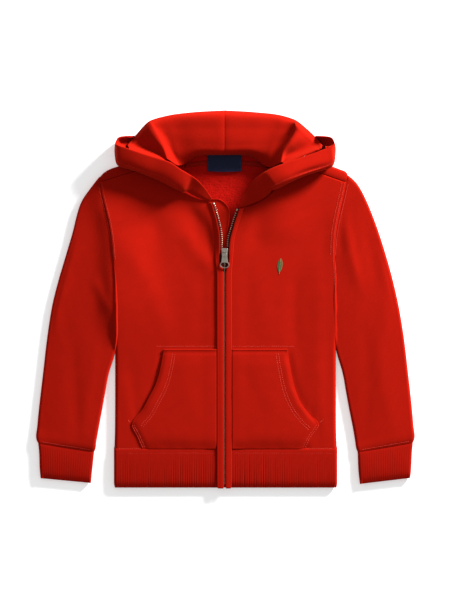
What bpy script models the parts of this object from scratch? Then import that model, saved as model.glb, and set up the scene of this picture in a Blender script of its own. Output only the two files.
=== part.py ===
"""Kids hoodie with a full zip, laid flat on its back.

The garment lies on the plane z = 0 with its hem towards -Y, its hood towards +Y and its zip along Y.
"left" and "right" are the wearer's own sides, so the left front lies on the +X side.
Sizes and tables are in millimetres, and every mesh is scaled to metres as it is made.
"""

import math

import bmesh
import bpy
import numpy as np
from mathutils import Vector
from mathutils.bvhtree import BVHTree

MM = 0.001

# Cloth
WALL = 2.0  # thickness of the fleece
SEAM = 0.35  # gap between two pieces that are sewn together
ARM_SEAM = 0.62  # gap between the armhole and the sleeve
LAP = 0.3  # gap between a piece and the one that it lies on
EDGE_LIFT = 0.4  # the rolled side of a front ends this much higher still
TRIM = 1.0  # thickness of tapes and the label
LINING = 1.5  # thickness of the hood's inside

# Levels above the table
BACK_TOP = WALL
FRONT_TOP = 7.5
ZIP_RISE = 0.5  # the fronts rise over the zip
GUARD_BASE = 2.5
TAPE_BASE = 4.7
FLAP_BASE = 8.35
FLAP_THICK = 2.0

# Zip
ZIP_X = -1.0
SLIDER_Y = 65.0
SLIDER_WIDTH = 9.6
SLIDER_LENGTH = 15.0
SLIDER_BASE = 5.95
SLIDER_HEIGHT = 3.9
PULL_AXIS_Y = 67.5
PULL_AXIS_Z = 11.7
BAIL_GAP = 3.0  # width of the pull's neck that the bail holds
PULL_LENGTH = 15.5
PULL_WIDTH = 9.6
PULL_THICK = 1.3
PIN_RADIUS = 0.55  # of the bail
PIN_CLEARANCE = 0.35
EYE_RADIUS = 1.5  # of the pull, round that pin
HOLE_RADIUS = 1.7  # in the pull's plate
HOLE_ALONG = 7.4  # from the axis to that hole
RING_HALF_WIDTH = 6.2
RING_HALF_DEPTH = 4.2
RING_WIRE = 0.75

# Body
WAIST_SEAM_Y = -213.3
HEM_Y = -267.7
UNDERARM_Y = 56.0

# Outline of body and armholes: y | right side x | left side x
BODY_SIDE = np.array([
    (-213.3, -157.8, 158.6),
    (-190.0, -156.9, 157.5),
    (-142.0, -156.6, 157.3),
    (-71.0, -156.6, 157.3),
    (0.0, -156.6, 157.3),
    (36.0, -156.9, 156.8),
    (56.0, -158.2, 155.4),
    (74.0, -159.8, 155.6),
    (92.0, -161.8, 156.5),
    (112.0, -165.2, 159.6),
    (132.0, -170.3, 164.0),
    (150.0, -174.9, 168.3),
    (166.0, -177.7, 171.5),
    (176.0, -179.0, 174.5),
])

# Rows of a front, hem to shoulder seam: inner edge x | inner edge y | outer edge y
FRONT_RIGHT = np.array([
    (-3.8, -213.3, -213.3),
    (-3.8, -142.0, -142.0),
    (-3.8, -71.0, -71.0),
    (-3.8, 0.0, -6.0),
    (-4.6, 36.0, 28.0),
    (-9.0, 52.0, 47.0),
    (-9.2, 70.0, 66.0),
    (-10.6, 90.0, 85.0),
    (-14.2, 106.0, 101.0),
    (-18.6, 122.0, 116.0),
    (-21.0, 137.0, 130.0),
    (-40.0, 143.4, 142.0),
    (-57.5, 152.4, 151.0),
    (-67.0, 166.0, 157.0),
    (-68.0, 184.0, 162.0),
    (-64.3, 204.3, 166.0),
])
FRONT_LEFT = np.array([
    (1.8, -213.3, -213.3),
    (1.8, -142.0, -142.0),
    (1.8, -71.0, -71.0),
    (1.8, 0.0, -6.0),
    (2.6, 36.0, 28.0),
    (7.0, 52.0, 47.0),
    (7.6, 70.0, 66.0),
    (9.0, 88.0, 84.0),
    (14.0, 104.0, 99.0),
    (18.4, 118.0, 113.0),
    (21.5, 128.5, 125.0),
    (38.0, 133.4, 139.0),
    (56.0, 142.4, 150.0),
    (70.0, 156.0, 157.0),
    (73.0, 180.0, 162.0),
    (70.3, 203.3, 166.5),
])

# Shoulder fold and shoulder seam, armhole to neck: fold x | fold y | seam x | seam y
SHOULDER_RIGHT = np.array([
    (-178.4, 173.5, -177.3, 166.4),
    (-173.0, 179.6, -168.0, 169.8),
    (-164.0, 185.0, -158.0, 173.1),
    (-153.0, 188.8, -148.0, 176.4),
    (-124.0, 198.3, -119.0, 186.1),
    (-95.0, 207.6, -91.0, 195.5),
    (-67.0, 216.6, -63.8, 204.7),
])
SHOULDER_LEFT = np.array([
    (174.0, 177.3, 171.3, 166.9),
    (171.5, 181.2, 165.0, 169.2),
    (163.5, 184.6, 157.0, 172.1),
    (153.0, 188.6, 147.0, 175.7),
    (126.0, 198.0, 121.0, 185.2),
    (99.0, 207.3, 95.0, 194.6),
    (73.0, 216.3, 70.0, 203.7),
])
# Top edge of the back between the shoulders: x | y
BACK_NECK = np.array([
    (-60.0, 210.0),
    (-48.0, 207.6),
    (-1.0, 207.0),
    (50.0, 207.6),
    (65.0, 210.0),
])

# Sleeve sections, armhole to cuff seam: outer x | outer y | inner x | inner y | height
SLEEVE_RIGHT = np.array([
    (-179.6, 174.0, -158.5, 56.0, 7.5),
    (-191.0, 159.0, -157.6, 30.0, 8.0),
    (-205.0, 138.0, -157.2, 2.0, 8.6),
    (-218.5, 90.0, -157.2, -26.0, 8.8),
    (-229.0, 55.0, -157.2, -52.0, 8.8),
    (-237.5, 26.0, -159.4, -78.0, 8.6),
    (-246.0, -8.0, -165.2, -105.0, 8.4),
    (-253.0, -52.0, -170.5, -133.0, 8.2),
    (-259.3, -106.0, -175.6, -161.0, 8.2),
    (-264.2, -148.0, -180.0, -185.0, 8.4),
    (-267.4, -180.0, -183.2, -203.0, 8.6),
    (-268.6, -199.0, -184.6, -213.0, 8.4),
    (-266.2, -204.4, -186.4, -217.0, 7.6),
])
SLEEVE_LEFT = np.array([
    (175.2, 176.4, 155.8, 56.0, 7.5),
    (187.0, 165.0, 158.1, 30.0, 8.0),
    (198.0, 146.0, 158.0, 2.0, 8.6),
    (214.0, 107.0, 158.0, -26.0, 8.8),
    (228.0, 64.0, 158.2, -51.0, 8.8),
    (238.0, 28.0, 161.2, -78.0, 8.6),
    (246.6, -10.0, 166.6, -105.0, 8.4),
    (253.6, -52.0, 171.6, -133.0, 8.2),
    (259.6, -102.0, 176.6, -160.0, 8.2),
    (264.6, -147.0, 181.2, -183.0, 8.4),
    (267.6, -180.0, 184.4, -202.0, 8.6),
    (269.0, -198.0, 186.2, -213.0, 8.4),
    (266.8, -204.0, 188.0, -217.2, 7.6),
])
STRAIGHT = np.array([(0.0, 1.0), (0.0, 0.0)])  # a section that doesn't bow out
# Cuff sections, seam to wrist: outer x | outer y | inner x | inner y | height
CUFF_RIGHT = np.array([
    (-266.1, -204.8, -186.3, -217.4, 7.6),
    (-264.6, -219.0, -187.6, -230.0, 8.0),
    (-264.0, -240.0, -189.4, -246.0, 8.0),
    (-262.6, -254.4, -190.8, -261.2, 7.2),
])
CUFF_LEFT = np.array([
    (266.7, -204.4, 187.9, -217.6, 7.6),
    (265.4, -219.0, 188.4, -230.0, 8.0),
    (264.4, -240.0, 189.2, -246.0, 8.0),
    (263.0, -254.0, 191.2, -262.6, 7.2),
])

# Pockets, waist seam to top: y | opening edge x
POCKET_RIGHT = np.array([
    (-212.6, -118.0),
    (-196.0, -125.0),
    (-177.0, -133.0),
    (-170.0, -129.5),
    (-157.0, -118.5),
    (-139.0, -108.5),
    (-118.0, -98.0),
    (-94.0, -91.5),
    (-71.0, -87.5),
])
POCKET_LEFT = np.array([
    (-212.6, 113.5),
    (-196.0, 122.0),
    (-178.0, 133.0),
    (-164.0, 120.0),
    (-147.0, 107.5),
    (-124.0, 98.0),
    (-108.0, 94.3),
    (-90.0, 91.0),
    (-71.0, 88.0),
])

# Flaps over the zip, hem to neck: y | inner edge x | outer edge x
FLAP_RIGHT = np.array([
    (-268.6, -3.0, -10.5),
    (-265.5, -1.7, -12.0),
    (-120.0, -1.6, -12.0),
    (36.0, -1.8, -12.2),
    (45.0, -3.6, -12.8),
    (53.0, -7.6, -13.8),
    (70.0, -7.4, -14.8),
    (91.0, -8.0, -15.4),
    (104.0, -10.0, -17.8),
    (120.0, -14.0, -21.6),
    (130.0, -17.0, -24.4),
    (137.4, -19.6, -26.6),
])
FLAP_LEFT = np.array([
    (-268.6, 1.2, 7.5),
    (-265.5, -0.1, 9.0),
    (-120.0, -0.2, 9.0),
    (36.0, 0.0, 9.0),
    (45.0, 2.0, 9.4),
    (53.0, 4.6, 10.4),
    (70.0, 5.0, 11.4),
    (88.0, 7.2, 13.4),
    (100.0, 10.6, 16.8),
    (112.0, 14.2, 20.6),
    (122.0, 17.6, 24.0),
    (129.0, 20.0, 26.6),
])
TAPE_WIDTH = 11.0
TAPE_SHOWS = 2.2  # the tape stands out past its flap by this much above the slider

# Guard behind the zip: y | right edge x | left edge x
ZIP_GUARD = np.array([
    (-262.0, -12.0, 3.0),
    (40.0, -12.0, 3.0),
    (80.0, -13.0, 3.0),
    (98.0, -15.0, 3.6),
    (116.0, -18.0, 5.8),
    (126.0, -20.0, 6.0),
    (132.0, -21.0, 3.4),
    (137.0, -22.0, -1.0),
    (141.0, -22.5, -7.0),
    (143.2, -22.8, -14.0),
])

# Hood, face edge to neck seam, zip top round the corner of the hood:
# edge x y z | lowest or outermost fold x y z | root on the neck seam x y z
HOOD_OUTER_RIGHT = np.array([
    (-19.5, 143.0, 11.2, -20.8, 140.2, 10.2, -21.6, 138.4, 8.9),
    (-25.0, 152.0, 14.0, -29.3, 144.8, 12.0, -31.5, 141.2, 8.9),
    (-31.0, 160.0, 17.5, -37.6, 149.6, 13.6, -40.5, 144.6, 8.9),
    (-40.0, 169.0, 21.5, -48.4, 155.0, 15.0, -50.4, 150.0, 8.9),
    (-51.0, 177.0, 24.5, -59.5, 152.2, 15.0, -58.5, 156.0, 8.4),
    (-63.0, 184.0, 26.5, -74.0, 157.6, 15.4, -67.0, 163.0, 8.2),
    (-76.0, 193.0, 28.5, -88.0, 165.0, 16.0, -74.0, 172.0, 8.2),
    (-95.0, 199.5, 30.0, -104.0, 172.2, 17.0, -88.0, 179.0, 8.2),
    (-113.0, 205.0, 31.0, -121.0, 179.0, 17.5, -106.0, 185.0, 8.2),
    (-131.0, 211.0, 31.5, -137.0, 184.4, 17.0, -122.0, 189.0, 8.2),
    (-146.5, 216.5, 30.5, -152.6, 189.4, 16.0, -137.0, 192.4, 8.2),
    (-154.5, 219.5, 29.0, -156.9, 203.0, 14.0, -151.6, 203.0, 0.9),
    (-155.0, 223.5, 28.0, -156.7, 219.0, 13.0, -152.6, 216.0, 0.9),
    (-151.0, 227.6, 27.0, -152.4, 229.2, 12.5, -149.4, 225.4, 0.9),
    (-143.0, 229.8, 26.0, -143.4, 231.8, 12.0, -141.6, 228.8, 0.9),
    (-135.0, 230.6, 24.0, -135.0, 232.2, 12.0, -134.4, 229.6, 0.9),
])
HOOD_OUTER_LEFT = np.array([
    (20.2, 133.6, 11.2, 21.2, 131.4, 10.2, 22.2, 129.8, 8.9),
    (24.5, 145.0, 14.0, 28.6, 137.0, 12.0, 31.0, 132.6, 8.9),
    (31.0, 158.0, 17.5, 37.6, 144.0, 13.6, 41.0, 136.8, 8.9),
    (38.0, 167.0, 21.5, 48.0, 149.0, 15.0, 52.0, 141.6, 8.9),
    (48.0, 175.0, 24.5, 60.5, 152.6, 15.0, 63.0, 149.8, 8.6),
    (60.0, 183.0, 26.5, 75.0, 157.0, 15.4, 70.0, 163.0, 8.2),
    (72.0, 188.5, 28.5, 89.0, 163.8, 16.0, 78.0, 172.0, 8.2),
    (90.0, 195.0, 30.0, 105.0, 171.4, 17.0, 92.0, 179.0, 8.2),
    (110.0, 202.0, 31.0, 121.0, 177.6, 17.5, 107.0, 184.0, 8.2),
    (129.0, 208.7, 31.5, 138.0, 182.6, 17.0, 123.0, 188.0, 8.2),
    (145.5, 215.0, 30.5, 152.4, 188.6, 16.0, 137.0, 192.0, 8.2),
    (153.0, 219.0, 29.0, 156.4, 203.0, 14.0, 151.2, 203.0, 0.9),
    (154.0, 223.0, 28.0, 156.2, 219.0, 13.0, 152.2, 216.0, 0.9),
    (150.0, 227.2, 27.0, 151.6, 228.6, 12.5, 148.6, 225.0, 0.9),
    (142.5, 229.6, 26.0, 143.0, 231.4, 12.0, 141.4, 228.4, 0.9),
    (135.5, 230.4, 24.0, 135.6, 232.0, 12.0, 135.0, 229.4, 0.9),
])

EAR_ROW = 11  # rows up to the hood's corner
SEWN_ROWS = 5  # rows of the hood's inside that are sewn to that edge
FACE_SEAM = 1.5  # between the two face edges, whose walls lean towards each other

# Inside of the hood, neck seam to the rolled top. Each row holds x y z of its face edge, of its wing's
# valley and ridge, of two places on the dome and of the middle seam.
HOOD_LINING_RIGHT = np.array([
    ((-86.0, 197.7, 28.9), (-82.5, 200.2, 26.6), (-76.5, 198.4, 25.2),
     (-61.0, 193.0, 11.5), (-39.0, 205.4, 4.8), (-1.2, 205.4, 3.8)),
    ((-97.0, 201.5, 29.8), (-92.0, 209.0, 23.4), (-85.5, 214.5, 28.6),
     (-66.0, 208.0, 17.0), (-38.0, 214.0, 11.0), (-1.2, 214.0, 9.5)),
    ((-114.0, 206.6, 30.6), (-106.0, 218.5, 19.5), (-92.5, 227.0, 30.5),
     (-70.0, 223.0, 20.5), (-40.0, 227.0, 15.5), (-1.2, 227.0, 14.0)),
    ((-129.0, 211.7, 31.0), (-118.0, 227.0, 18.0), (-101.0, 240.5, 29.5),
     (-75.0, 241.0, 23.5), (-42.0, 243.0, 19.5), (-1.2, 244.0, 18.5)),
    ((-136.0, 214.2, 30.4), (-124.5, 231.0, 18.0), (-106.0, 248.5, 27.0),
     (-80.0, 256.0, 24.0), (-44.0, 260.5, 22.5), (-1.2, 262.6, 22.0)),
    ((-138.6, 218.6, 23.0), (-128.4, 233.4, 14.5), (-108.2, 252.4, 20.0),
     (-82.0, 260.6, 17.5), (-46.0, 265.4, 16.0), (-1.2, 268.0, 15.6)),
    ((-137.0, 218.0, 17.0), (-126.8, 231.4, 10.5), (-106.8, 250.0, 13.5),
     (-80.8, 258.0, 11.0), (-45.0, 262.6, 10.0), (-1.2, 265.0, 9.6)),
])
HOOD_LINING_LEFT = np.array([
    ((82.0, 193.4, 29.0), (78.0, 195.8, 26.6), (72.0, 194.2, 25.2),
     (57.0, 193.6, 11.5), (36.0, 205.4, 4.8), (-0.8, 205.4, 3.8)),
    ((91.5, 196.8, 29.8), (86.6, 204.4, 23.4), (79.6, 209.6, 28.6),
     (61.0, 209.0, 16.5), (34.0, 214.0, 11.0), (-0.8, 214.0, 9.5)),
    ((109.0, 202.9, 30.7), (102.0, 215.5, 19.5), (89.5, 223.0, 31.0),
     (66.0, 224.0, 20.0), (37.0, 227.0, 15.5), (-0.8, 227.0, 14.0)),
    ((126.0, 209.0, 31.1), (116.0, 226.0, 18.0), (98.5, 237.5, 31.0),
     (74.0, 241.5, 23.0), (40.0, 243.0, 19.5), (-0.8, 244.0, 18.5)),
    ((134.0, 212.0, 30.8), (124.0, 230.5, 18.0), (99.5, 249.0, 28.0),
     (77.0, 256.5, 24.0), (42.0, 260.5, 22.5), (-0.8, 262.6, 22.0)),
    ((137.6, 218.0, 23.0), (128.0, 233.4, 14.5), (101.0, 253.4, 20.5),
     (79.0, 261.0, 17.5), (43.0, 265.4, 16.0), (-0.8, 268.0, 15.6)),
    ((136.0, 217.4, 17.0), (126.6, 231.4, 10.5), (99.6, 251.0, 14.0),
     (78.0, 258.4, 11.0), (42.4, 262.6, 10.0), (-0.8, 265.0, 9.6)),
])

# Hidden layers of the hood. Outline of the heap from end to end:
# back edge x | back edge y | front edge x | front edge y
HEAP_ENDS = np.array([(-149.5, 217.0), (149.0, 217.0)])
HEAP_OUTLINE = np.array([
    (-145.5, 222.5, -149.0, 206.0),
    (-136.0, 226.0, -146.0, 199.5),
    (-127.0, 231.6, -124.0, 200.8),
    (-118.0, 240.4, -97.0, 209.6),
    (-106.0, 250.2, -70.0, 218.8),
    (-84.0, 258.4, -59.0, 216.4),
    (-56.0, 262.4, -50.0, 211.0),
    (-28.0, 265.0, -26.0, 215.0),
    (-1.0, 266.0, -1.0, 216.5),
    (28.0, 265.0, 26.0, 215.0),
    (56.0, 262.4, 52.0, 211.0),
    (80.0, 258.8, 64.0, 216.4),
    (101.0, 251.0, 76.0, 218.4),
    (117.0, 240.4, 101.0, 209.4),
    (127.0, 231.6, 126.0, 200.6),
    (136.0, 226.0, 145.5, 199.5),
    (145.0, 222.5, 148.5, 206.0),
])
HEAP_LAYERS = 3  # layers of cloth that show at its edge
HEAP_HEIGHT = 7.6  # of those layers together
HEAP_ROLL = 0.9  # how far each layer's edge stands out past the grooves between them
CORE_CENTRE = np.array([-1.0, 238.5])
CORE_HALF_SIZE = np.array([94.0, 17.0])  # the core of the heap is a rounded oblong
CORE_POWER = 2.6
CORE_FOOT = 1.15  # its foot is wider by this factor
CORE_GAP = 1.0  # and stays this far below the hood's inside

# Neck trim
TAPE_ARC = np.array([(-57.0, 193.2), (-30.0, 196.4), (-1.0, 197.2), (30.0, 196.2), (62.0, 192.6)])  # x | y
NECK_TAPE_DEPTH = 6.0
LABEL_X = -1.0
LABEL_WIDTH = 48.0
LABEL_TOP_Y = 205.0
LABEL_DEPTH = 23.0
LABEL_BASE = 3.65

# Soft folds that stand up from or sink into the fronts:
# x y at one end | x y at the other | height | half width
FRONT_FOLDS = np.array([
    (-66.0, 126.0, -30.0, 70.0, 1.0, 9.0),
    (-110.0, 60.0, -70.0, -30.0, -0.5, 14.0),
    (112.0, -86.0, 126.0, -190.0, -0.7, 8.0),
    (140.0, 20.0, 118.0, -60.0, 0.6, 12.0),
    (60.0, 110.0, 40.0, 60.0, 0.6, 12.0),
])
# Soft folds along the sleeves:
# share of the width | first section | last section | height | half width in shares
SLEEVE_FOLDS = np.array([
    (0.36, 1.5, 7.5, -1.0, 0.10),
    (0.66, 3.0, 9.5, 0.9, 0.10),
    (0.50, 7.5, 11.5, -0.7, 0.08),
    (0.22, 6.5, 10.5, 0.6, 0.07),
])

RIB_PITCH = 3.3
RIB_HEIGHT = 0.8

RED = (0.42, 0.012, 0.008)
RED_RIB = (0.36, 0.010, 0.007)
RED_TAPE = (0.30, 0.008, 0.007)
NAVY = (0.012, 0.016, 0.060)
PEWTER = (0.34, 0.30, 0.25)


# ---- Curves and grids ------------------------------------------------------------------------------------


def smooth(rows, steps):
    """Curve through every row of a table, with some steps between each two rows.

    Each span is a cubic Hermite curve on knots spaced by the distance between the rows, and the tangent at
    a row is the slope through its two neighbours.
    """
    rows = np.asarray(rows, float)
    knots = np.append(0.0, np.cumsum(np.linalg.norm(np.diff(rows, axis=0), axis=1)))
    tangents = np.gradient(rows, knots, axis=0)
    f = (np.arange(steps) / steps)[None, :, None]
    a, b = rows[:-1, None], rows[1:, None]
    span = np.diff(knots)[:, None, None]
    m0, m1 = tangents[:-1, None] * span, tangents[1:, None] * span
    curve = (
        (2 * f**3 - 3 * f**2 + 1) * a + (f**3 - 2 * f**2 + f) * m0
        + (3 * f**2 - 2 * f**3) * b + (f**3 - f**2) * m1
    )
    return np.vstack([curve.reshape(-1, rows.shape[1]), rows[-1]])


def smooth_net(net, row_steps, column_steps):
    """Smooth surface through a (rows, columns, 3) net of points, read on a finer grid."""
    along = smooth(net.reshape(len(net), -1), row_steps)
    along = along.reshape(len(along), net.shape[1], 3)
    across = smooth(along.transpose(1, 0, 2).reshape(net.shape[1], -1), column_steps)
    return across.reshape(len(across), len(along), 3).transpose(1, 0, 2)


def body_edge(y, side):
    """x of the body's outline at height y: side 1 is the wearer's right (-X), side 2 the left."""
    return np.interp(y, BODY_SIDE[:, 0], BODY_SIDE[:, side])


def soft_step(x, low, high):
    """0 below low, 1 above high, a smooth ramp between."""
    f = np.clip((x - low) / (high - low), 0.0, 1.0)
    return f * f * (3.0 - 2.0 * f)


def front_height(x, y, side):
    """Height of a front's outer face: the flat level, the rise over the zip, and the soft folds."""
    table = FRONT_RIGHT if side == 1 else FRONT_LEFT
    from_zip = np.abs(x - np.interp(y, table[:11, 1], table[:11, 0]))
    z = FRONT_TOP + ZIP_RISE * (1.0 - soft_step(from_zip, 14.0, 32.0))
    for x0, y0, x1, y1, height, width in FRONT_FOLDS:
        run = np.array([x1 - x0, y1 - y0])
        length = np.hypot(*run)
        s = ((x - x0) * run[0] + (y - y0) * run[1]) / length**2
        away = ((x - x0) * run[1] - (y - y0) * run[0]) / length
        ends = soft_step(s, -0.15, 0.25) * (1.0 - soft_step(s, 0.75, 1.15))
        z = z + height * ends * np.exp(-((away / width) ** 2))
    return z


# ---- Meshes ----------------------------------------------------------------------------------------------


def material(name, colour, roughness, metallic=0.0):
    """Principled material with one colour."""
    found = bpy.data.materials.get(name)
    if found:
        return found
    made = bpy.data.materials.new(name)
    made.use_nodes = True
    shader = made.node_tree.nodes["Principled BSDF"]
    shader.inputs["Base Color"].default_value = (*colour, 1.0)
    shader.inputs["Roughness"].default_value = roughness
    shader.inputs["Metallic"].default_value = metallic
    made.diffuse_color = (*colour, 1.0)
    return made


def add_object(name, mesh, finish):
    """Put a mesh into the garment's collection under its own name and material."""
    mesh.materials.append(finish)
    made = bpy.data.objects.new(name, mesh)
    GARMENT.objects.link(made)
    return made


def grid_faces(rows, columns, closed=False, first=0):
    """Quads of a (rows, columns) grid; closed joins the last column to the first."""
    ahead = columns if closed else columns - 1
    faces = []
    for r in range(rows - 1):
        for c in range(ahead):
            d = (c + 1) % columns
            a = first + r * columns
            b = a + columns
            faces.append((a + c, a + d, b + d, b + c))
    return faces


def make_mesh(name, points, faces):
    """Mesh in metres from points in millimetres, faces turned outwards where the mesh is closed."""
    mesh = bpy.data.meshes.new(name)
    mesh.from_pydata((np.asarray(points) * MM).tolist(), [], faces)
    mesh.validate()
    return mesh


def cloth_sheet(name, points, finish, thickness=WALL, keep=None, up=True, even=True):
    """Cloth wall on a grid of its outer face: an open surface with a Solidify modifier.

    The outer face looks up (or down where up is false) and the thickness goes to the other side.
    """
    rows, columns = points.shape[:2]
    faces = grid_faces(rows, columns)
    if keep is not None:
        faces = [face for face, kept in zip(faces, keep.ravel()) if kept]
    made = add_object(name, make_mesh(name, points.reshape(-1, 3), faces), finish)
    mesh = made.data
    turn = bmesh.new()
    turn.from_mesh(mesh)
    loose = [v for v in turn.verts if not v.link_faces]
    bmesh.ops.delete(turn, geom=loose, context="VERTS")
    turn.normal_update()
    looks_up = sum(f.normal.z * f.calc_area() for f in turn.faces) > 0.0
    if looks_up != up:
        bmesh.ops.reverse_faces(turn, faces=turn.faces)
    turn.to_mesh(mesh)
    turn.free()
    wall = made.modifiers.new("wall", "SOLIDIFY")
    wall.thickness = thickness * MM
    wall.offset = -1.0
    wall.use_even_offset = even
    return made


def closed_loft(name, rings, finish):
    """Solid through closed rings (sections, points, 3), with a flat cap at each end."""
    sections, count = rings.shape[:2]
    faces = grid_faces(sections, count, closed=True)
    faces.append(tuple(range(count)))
    faces.append(tuple(range((sections - 1) * count, sections * count)))
    return outward(add_object(name, make_mesh(name, rings.reshape(-1, 3), faces), finish))


def walled_loft(name, outer, inner, finish, closed):
    """Wall between an outer and an inner grid with the same columns, joined round their edges.

    The inner grid may have fewer rows. closed joins the last column to the first: a tube with open ends.
    """
    rows, columns = outer.shape[:2]
    core_rows = len(inner)
    count = rows * columns
    last, core_last = (rows - 1) * columns, count + (core_rows - 1) * columns
    faces = grid_faces(rows, columns, closed)
    faces += [face[::-1] for face in grid_faces(core_rows, columns, closed, first=count)]
    for c in range(columns if closed else columns - 1):
        d = (c + 1) % columns
        faces.append((d, c, count + c, count + d))
        faces.append((last + c, last + d, core_last + d, core_last + c))
    if not closed:
        for c in (0, columns - 1):
            there = [r * columns + c for r in range(rows)]
            back = [count + r * columns + c for r in reversed(range(core_rows))]
            faces.append(tuple(there + back))
    points = np.concatenate([outer.reshape(-1, 3), inner.reshape(-1, 3)])
    return outward(add_object(name, make_mesh(name, points, faces), finish))


def outward(made):
    """Turn the faces of a closed mesh outwards."""
    turn = bmesh.new()
    turn.from_mesh(made.data)
    bmesh.ops.recalc_face_normals(turn, faces=turn.faces)
    turn.to_mesh(made.data)
    turn.free()
    return made


# ---- Body ------------------------------------------------------------------------------------------------


def back_panel():
    """Back: a flat sheet whose two shoulders fold over to the front as far as the shoulder seams."""
    roll = FRONT_TOP / 2.0
    arc = np.linspace(0.0, math.pi, 6)[1:]

    def folded_in(shoulder):
        seam = shoulder[:, 2:] - shoulder[:, :2]
        return seam / np.linalg.norm(seam, axis=1)[:, None]

    right, left = SHOULDER_RIGHT, SHOULDER_LEFT[::-1]
    count = len(right)
    tops = [s[:, :2] + roll * folded_in(s) for s in (right, left)]
    top = np.vstack([tops[0], BACK_NECK, tops[1]])
    columns = len(top)
    edge_rows = np.array([WAIST_SEAM_Y, -190.0, -120.0, -40.0, 30.0, 56.0, 84.0, 112.0, 138.0, 158.0])
    rise = soft_step(edge_rows, 0.0, 190.0)[:, None]
    share = (top[:, 0] - top[0, 0]) / (top[-1, 0] - top[0, 0])
    slope = (edge_rows - edge_rows[0]) / (175.0 - edge_rows[0])
    y_top = WAIST_SEAM_Y + (top[:, 1] - WAIST_SEAM_Y) * slope[:, None]
    y = edge_rows[:, None] * (1.0 - rise) + y_top * rise
    x = body_edge(y[:, :1], 1) * (1.0 - share) + body_edge(y[:, -1:], 2) * share
    flat = np.stack([x, y, np.zeros_like(y)], axis=-1)
    rows = [*flat, np.column_stack([top, np.zeros(columns)])]
    fold = np.zeros(columns, bool)
    fold[:count] = True
    fold[-count:] = True
    inward = np.zeros((columns, 2))
    inward[:count], inward[-count:] = folded_in(right), folded_in(left)
    seams = np.zeros((columns, 2))
    seams[:count], seams[-count:] = right[:, 2:], left[:, 2:]
    for angle in arc:
        plan = top - roll * math.sin(angle) * inward
        rows.append(np.column_stack([plan, np.full(columns, roll * (1.0 - math.cos(angle)))]))
    end = seams - 0.5 * SEAM * inward
    rows.append(np.column_stack([end, np.full(columns, FRONT_TOP)]))
    points = np.array(rows)
    keep = np.ones((len(points) - 1, columns - 1), bool)
    keep[len(flat):] = fold[:-1] & fold[1:]
    return cloth_sheet("back_panel", points, CLOTH, keep=keep, up=False)


def front_panel(name, table, side):
    """Front: a row across it for each row of its table; its side rolls down to the back."""
    rows = smooth(table, 1)
    across = np.array([0.0, 0.07, 0.15, 0.25, 0.37, 0.50, 0.63, 0.76, 0.89, 1.0])
    roll = FRONT_TOP - BACK_TOP - LAP - EDGE_LIFT
    angles = np.linspace(0.0, math.pi / 2.0, 5)[1:]
    toward = -1.0 if side == 1 else 1.0
    points = []
    for inner_x, inner_y, outer_y in rows:
        outer_x = body_edge(outer_y, side)
        rolled = 1.0 - soft_step(outer_y, UNDERARM_Y - 34.0, UNDERARM_Y - 2.0)
        gap = 0.5 * SEAM * (1.0 - rolled) * toward
        start_x = outer_x - toward * roll - gap
        x = inner_x + (start_x - inner_x) * across
        y = inner_y + (outer_y - inner_y) * across
        z = front_height(x, y, side)
        flat_z = FRONT_TOP + (z[-1] - FRONT_TOP) * (1.0 - np.sin(angles))
        arc_x = start_x + toward * roll * np.sin(angles)
        arc_z = flat_z - rolled * roll * (1.0 - np.cos(angles))
        x = np.append(x, arc_x)
        y = np.append(y, np.full(len(angles), outer_y))
        z = np.append(z, arc_z)
        points.append(np.column_stack([x, y, z]))
    return cloth_sheet(name, np.array(points), CLOTH, even=False)


def pocket(name, table, inner_edge, front):
    """Half of the front pocket: the front's own face moved out, its opening edge standing a little up."""
    tree = joined_tree([front])
    across = np.array([0.0, 0.07, 0.2, 0.4, 0.6, 0.8, 1.0])
    points = []
    for y, opening in table:
        x = inner_edge + (opening - inner_edge) * across
        open_here = soft_step(y, -174.0, -150.0) * (1.0 - soft_step(y, -95.0, -72.0))
        gape = 1.1 * open_here * soft_step(across, 0.8, 1.0)
        z = np.array([top_of(tree, at, y) for at in x]) + LAP + WALL + gape
        points.append(np.column_stack([x, np.full_like(x, y), z]))
    return cloth_sheet(name, np.array(points), CLOTH)


# ---- Flattened tubes -------------------------------------------------------------------------------------


def tube_section(row, shares, end_steps, below, bow):
    """Ring of a flattened tube between two plan points: its top run, one end, its flat run, the other end.

    bow holds two rows, shares of the way across and how far the ring bows out there.
    """
    outer, inner, height = row[:2], row[2:4], row[4]
    run = inner - outer
    length = np.hypot(*run)
    run = run / length
    radius = height / 2.0
    start, stop = radius / length, 1.0 - radius / length
    top = start + (stop - start) * shares
    bottom = stop - (stop - start) * np.linspace(0.0, 1.0, below)
    half = np.linspace(0.0, math.pi, end_steps + 2)[1:-1]
    ends_in = stop + np.sin(half) * radius / length
    ends_out = start - np.sin(half) * radius / length
    s = np.concatenate([top, ends_in, bottom, ends_out])
    z = np.concatenate([
        np.full(len(top), height),
        radius + radius * np.cos(half),
        np.zeros(below),
        radius - radius * np.cos(half),
    ])
    across = np.array([-run[1], run[0]])
    plan = outer + np.outer(s * length, run) + np.outer(np.interp(s, *bow), across)
    return np.column_stack([plan, z])


def tube_core(row, shares, end_steps, below, bow, outer_wall, inner_wall):
    """Inner ring of a flattened tube: its ends drawn in by the walls there, its height by two walls."""
    run = (row[2:4] - row[:2]) / np.hypot(*(row[2:4] - row[:2]))
    core = np.array([*(row[:2] + outer_wall * run), *(row[2:4] - inner_wall * run), row[4] - 2.0 * WALL])
    ring = tube_section(core, shares, end_steps, below, bow)
    ring[:, 2] += WALL
    return ring


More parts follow.
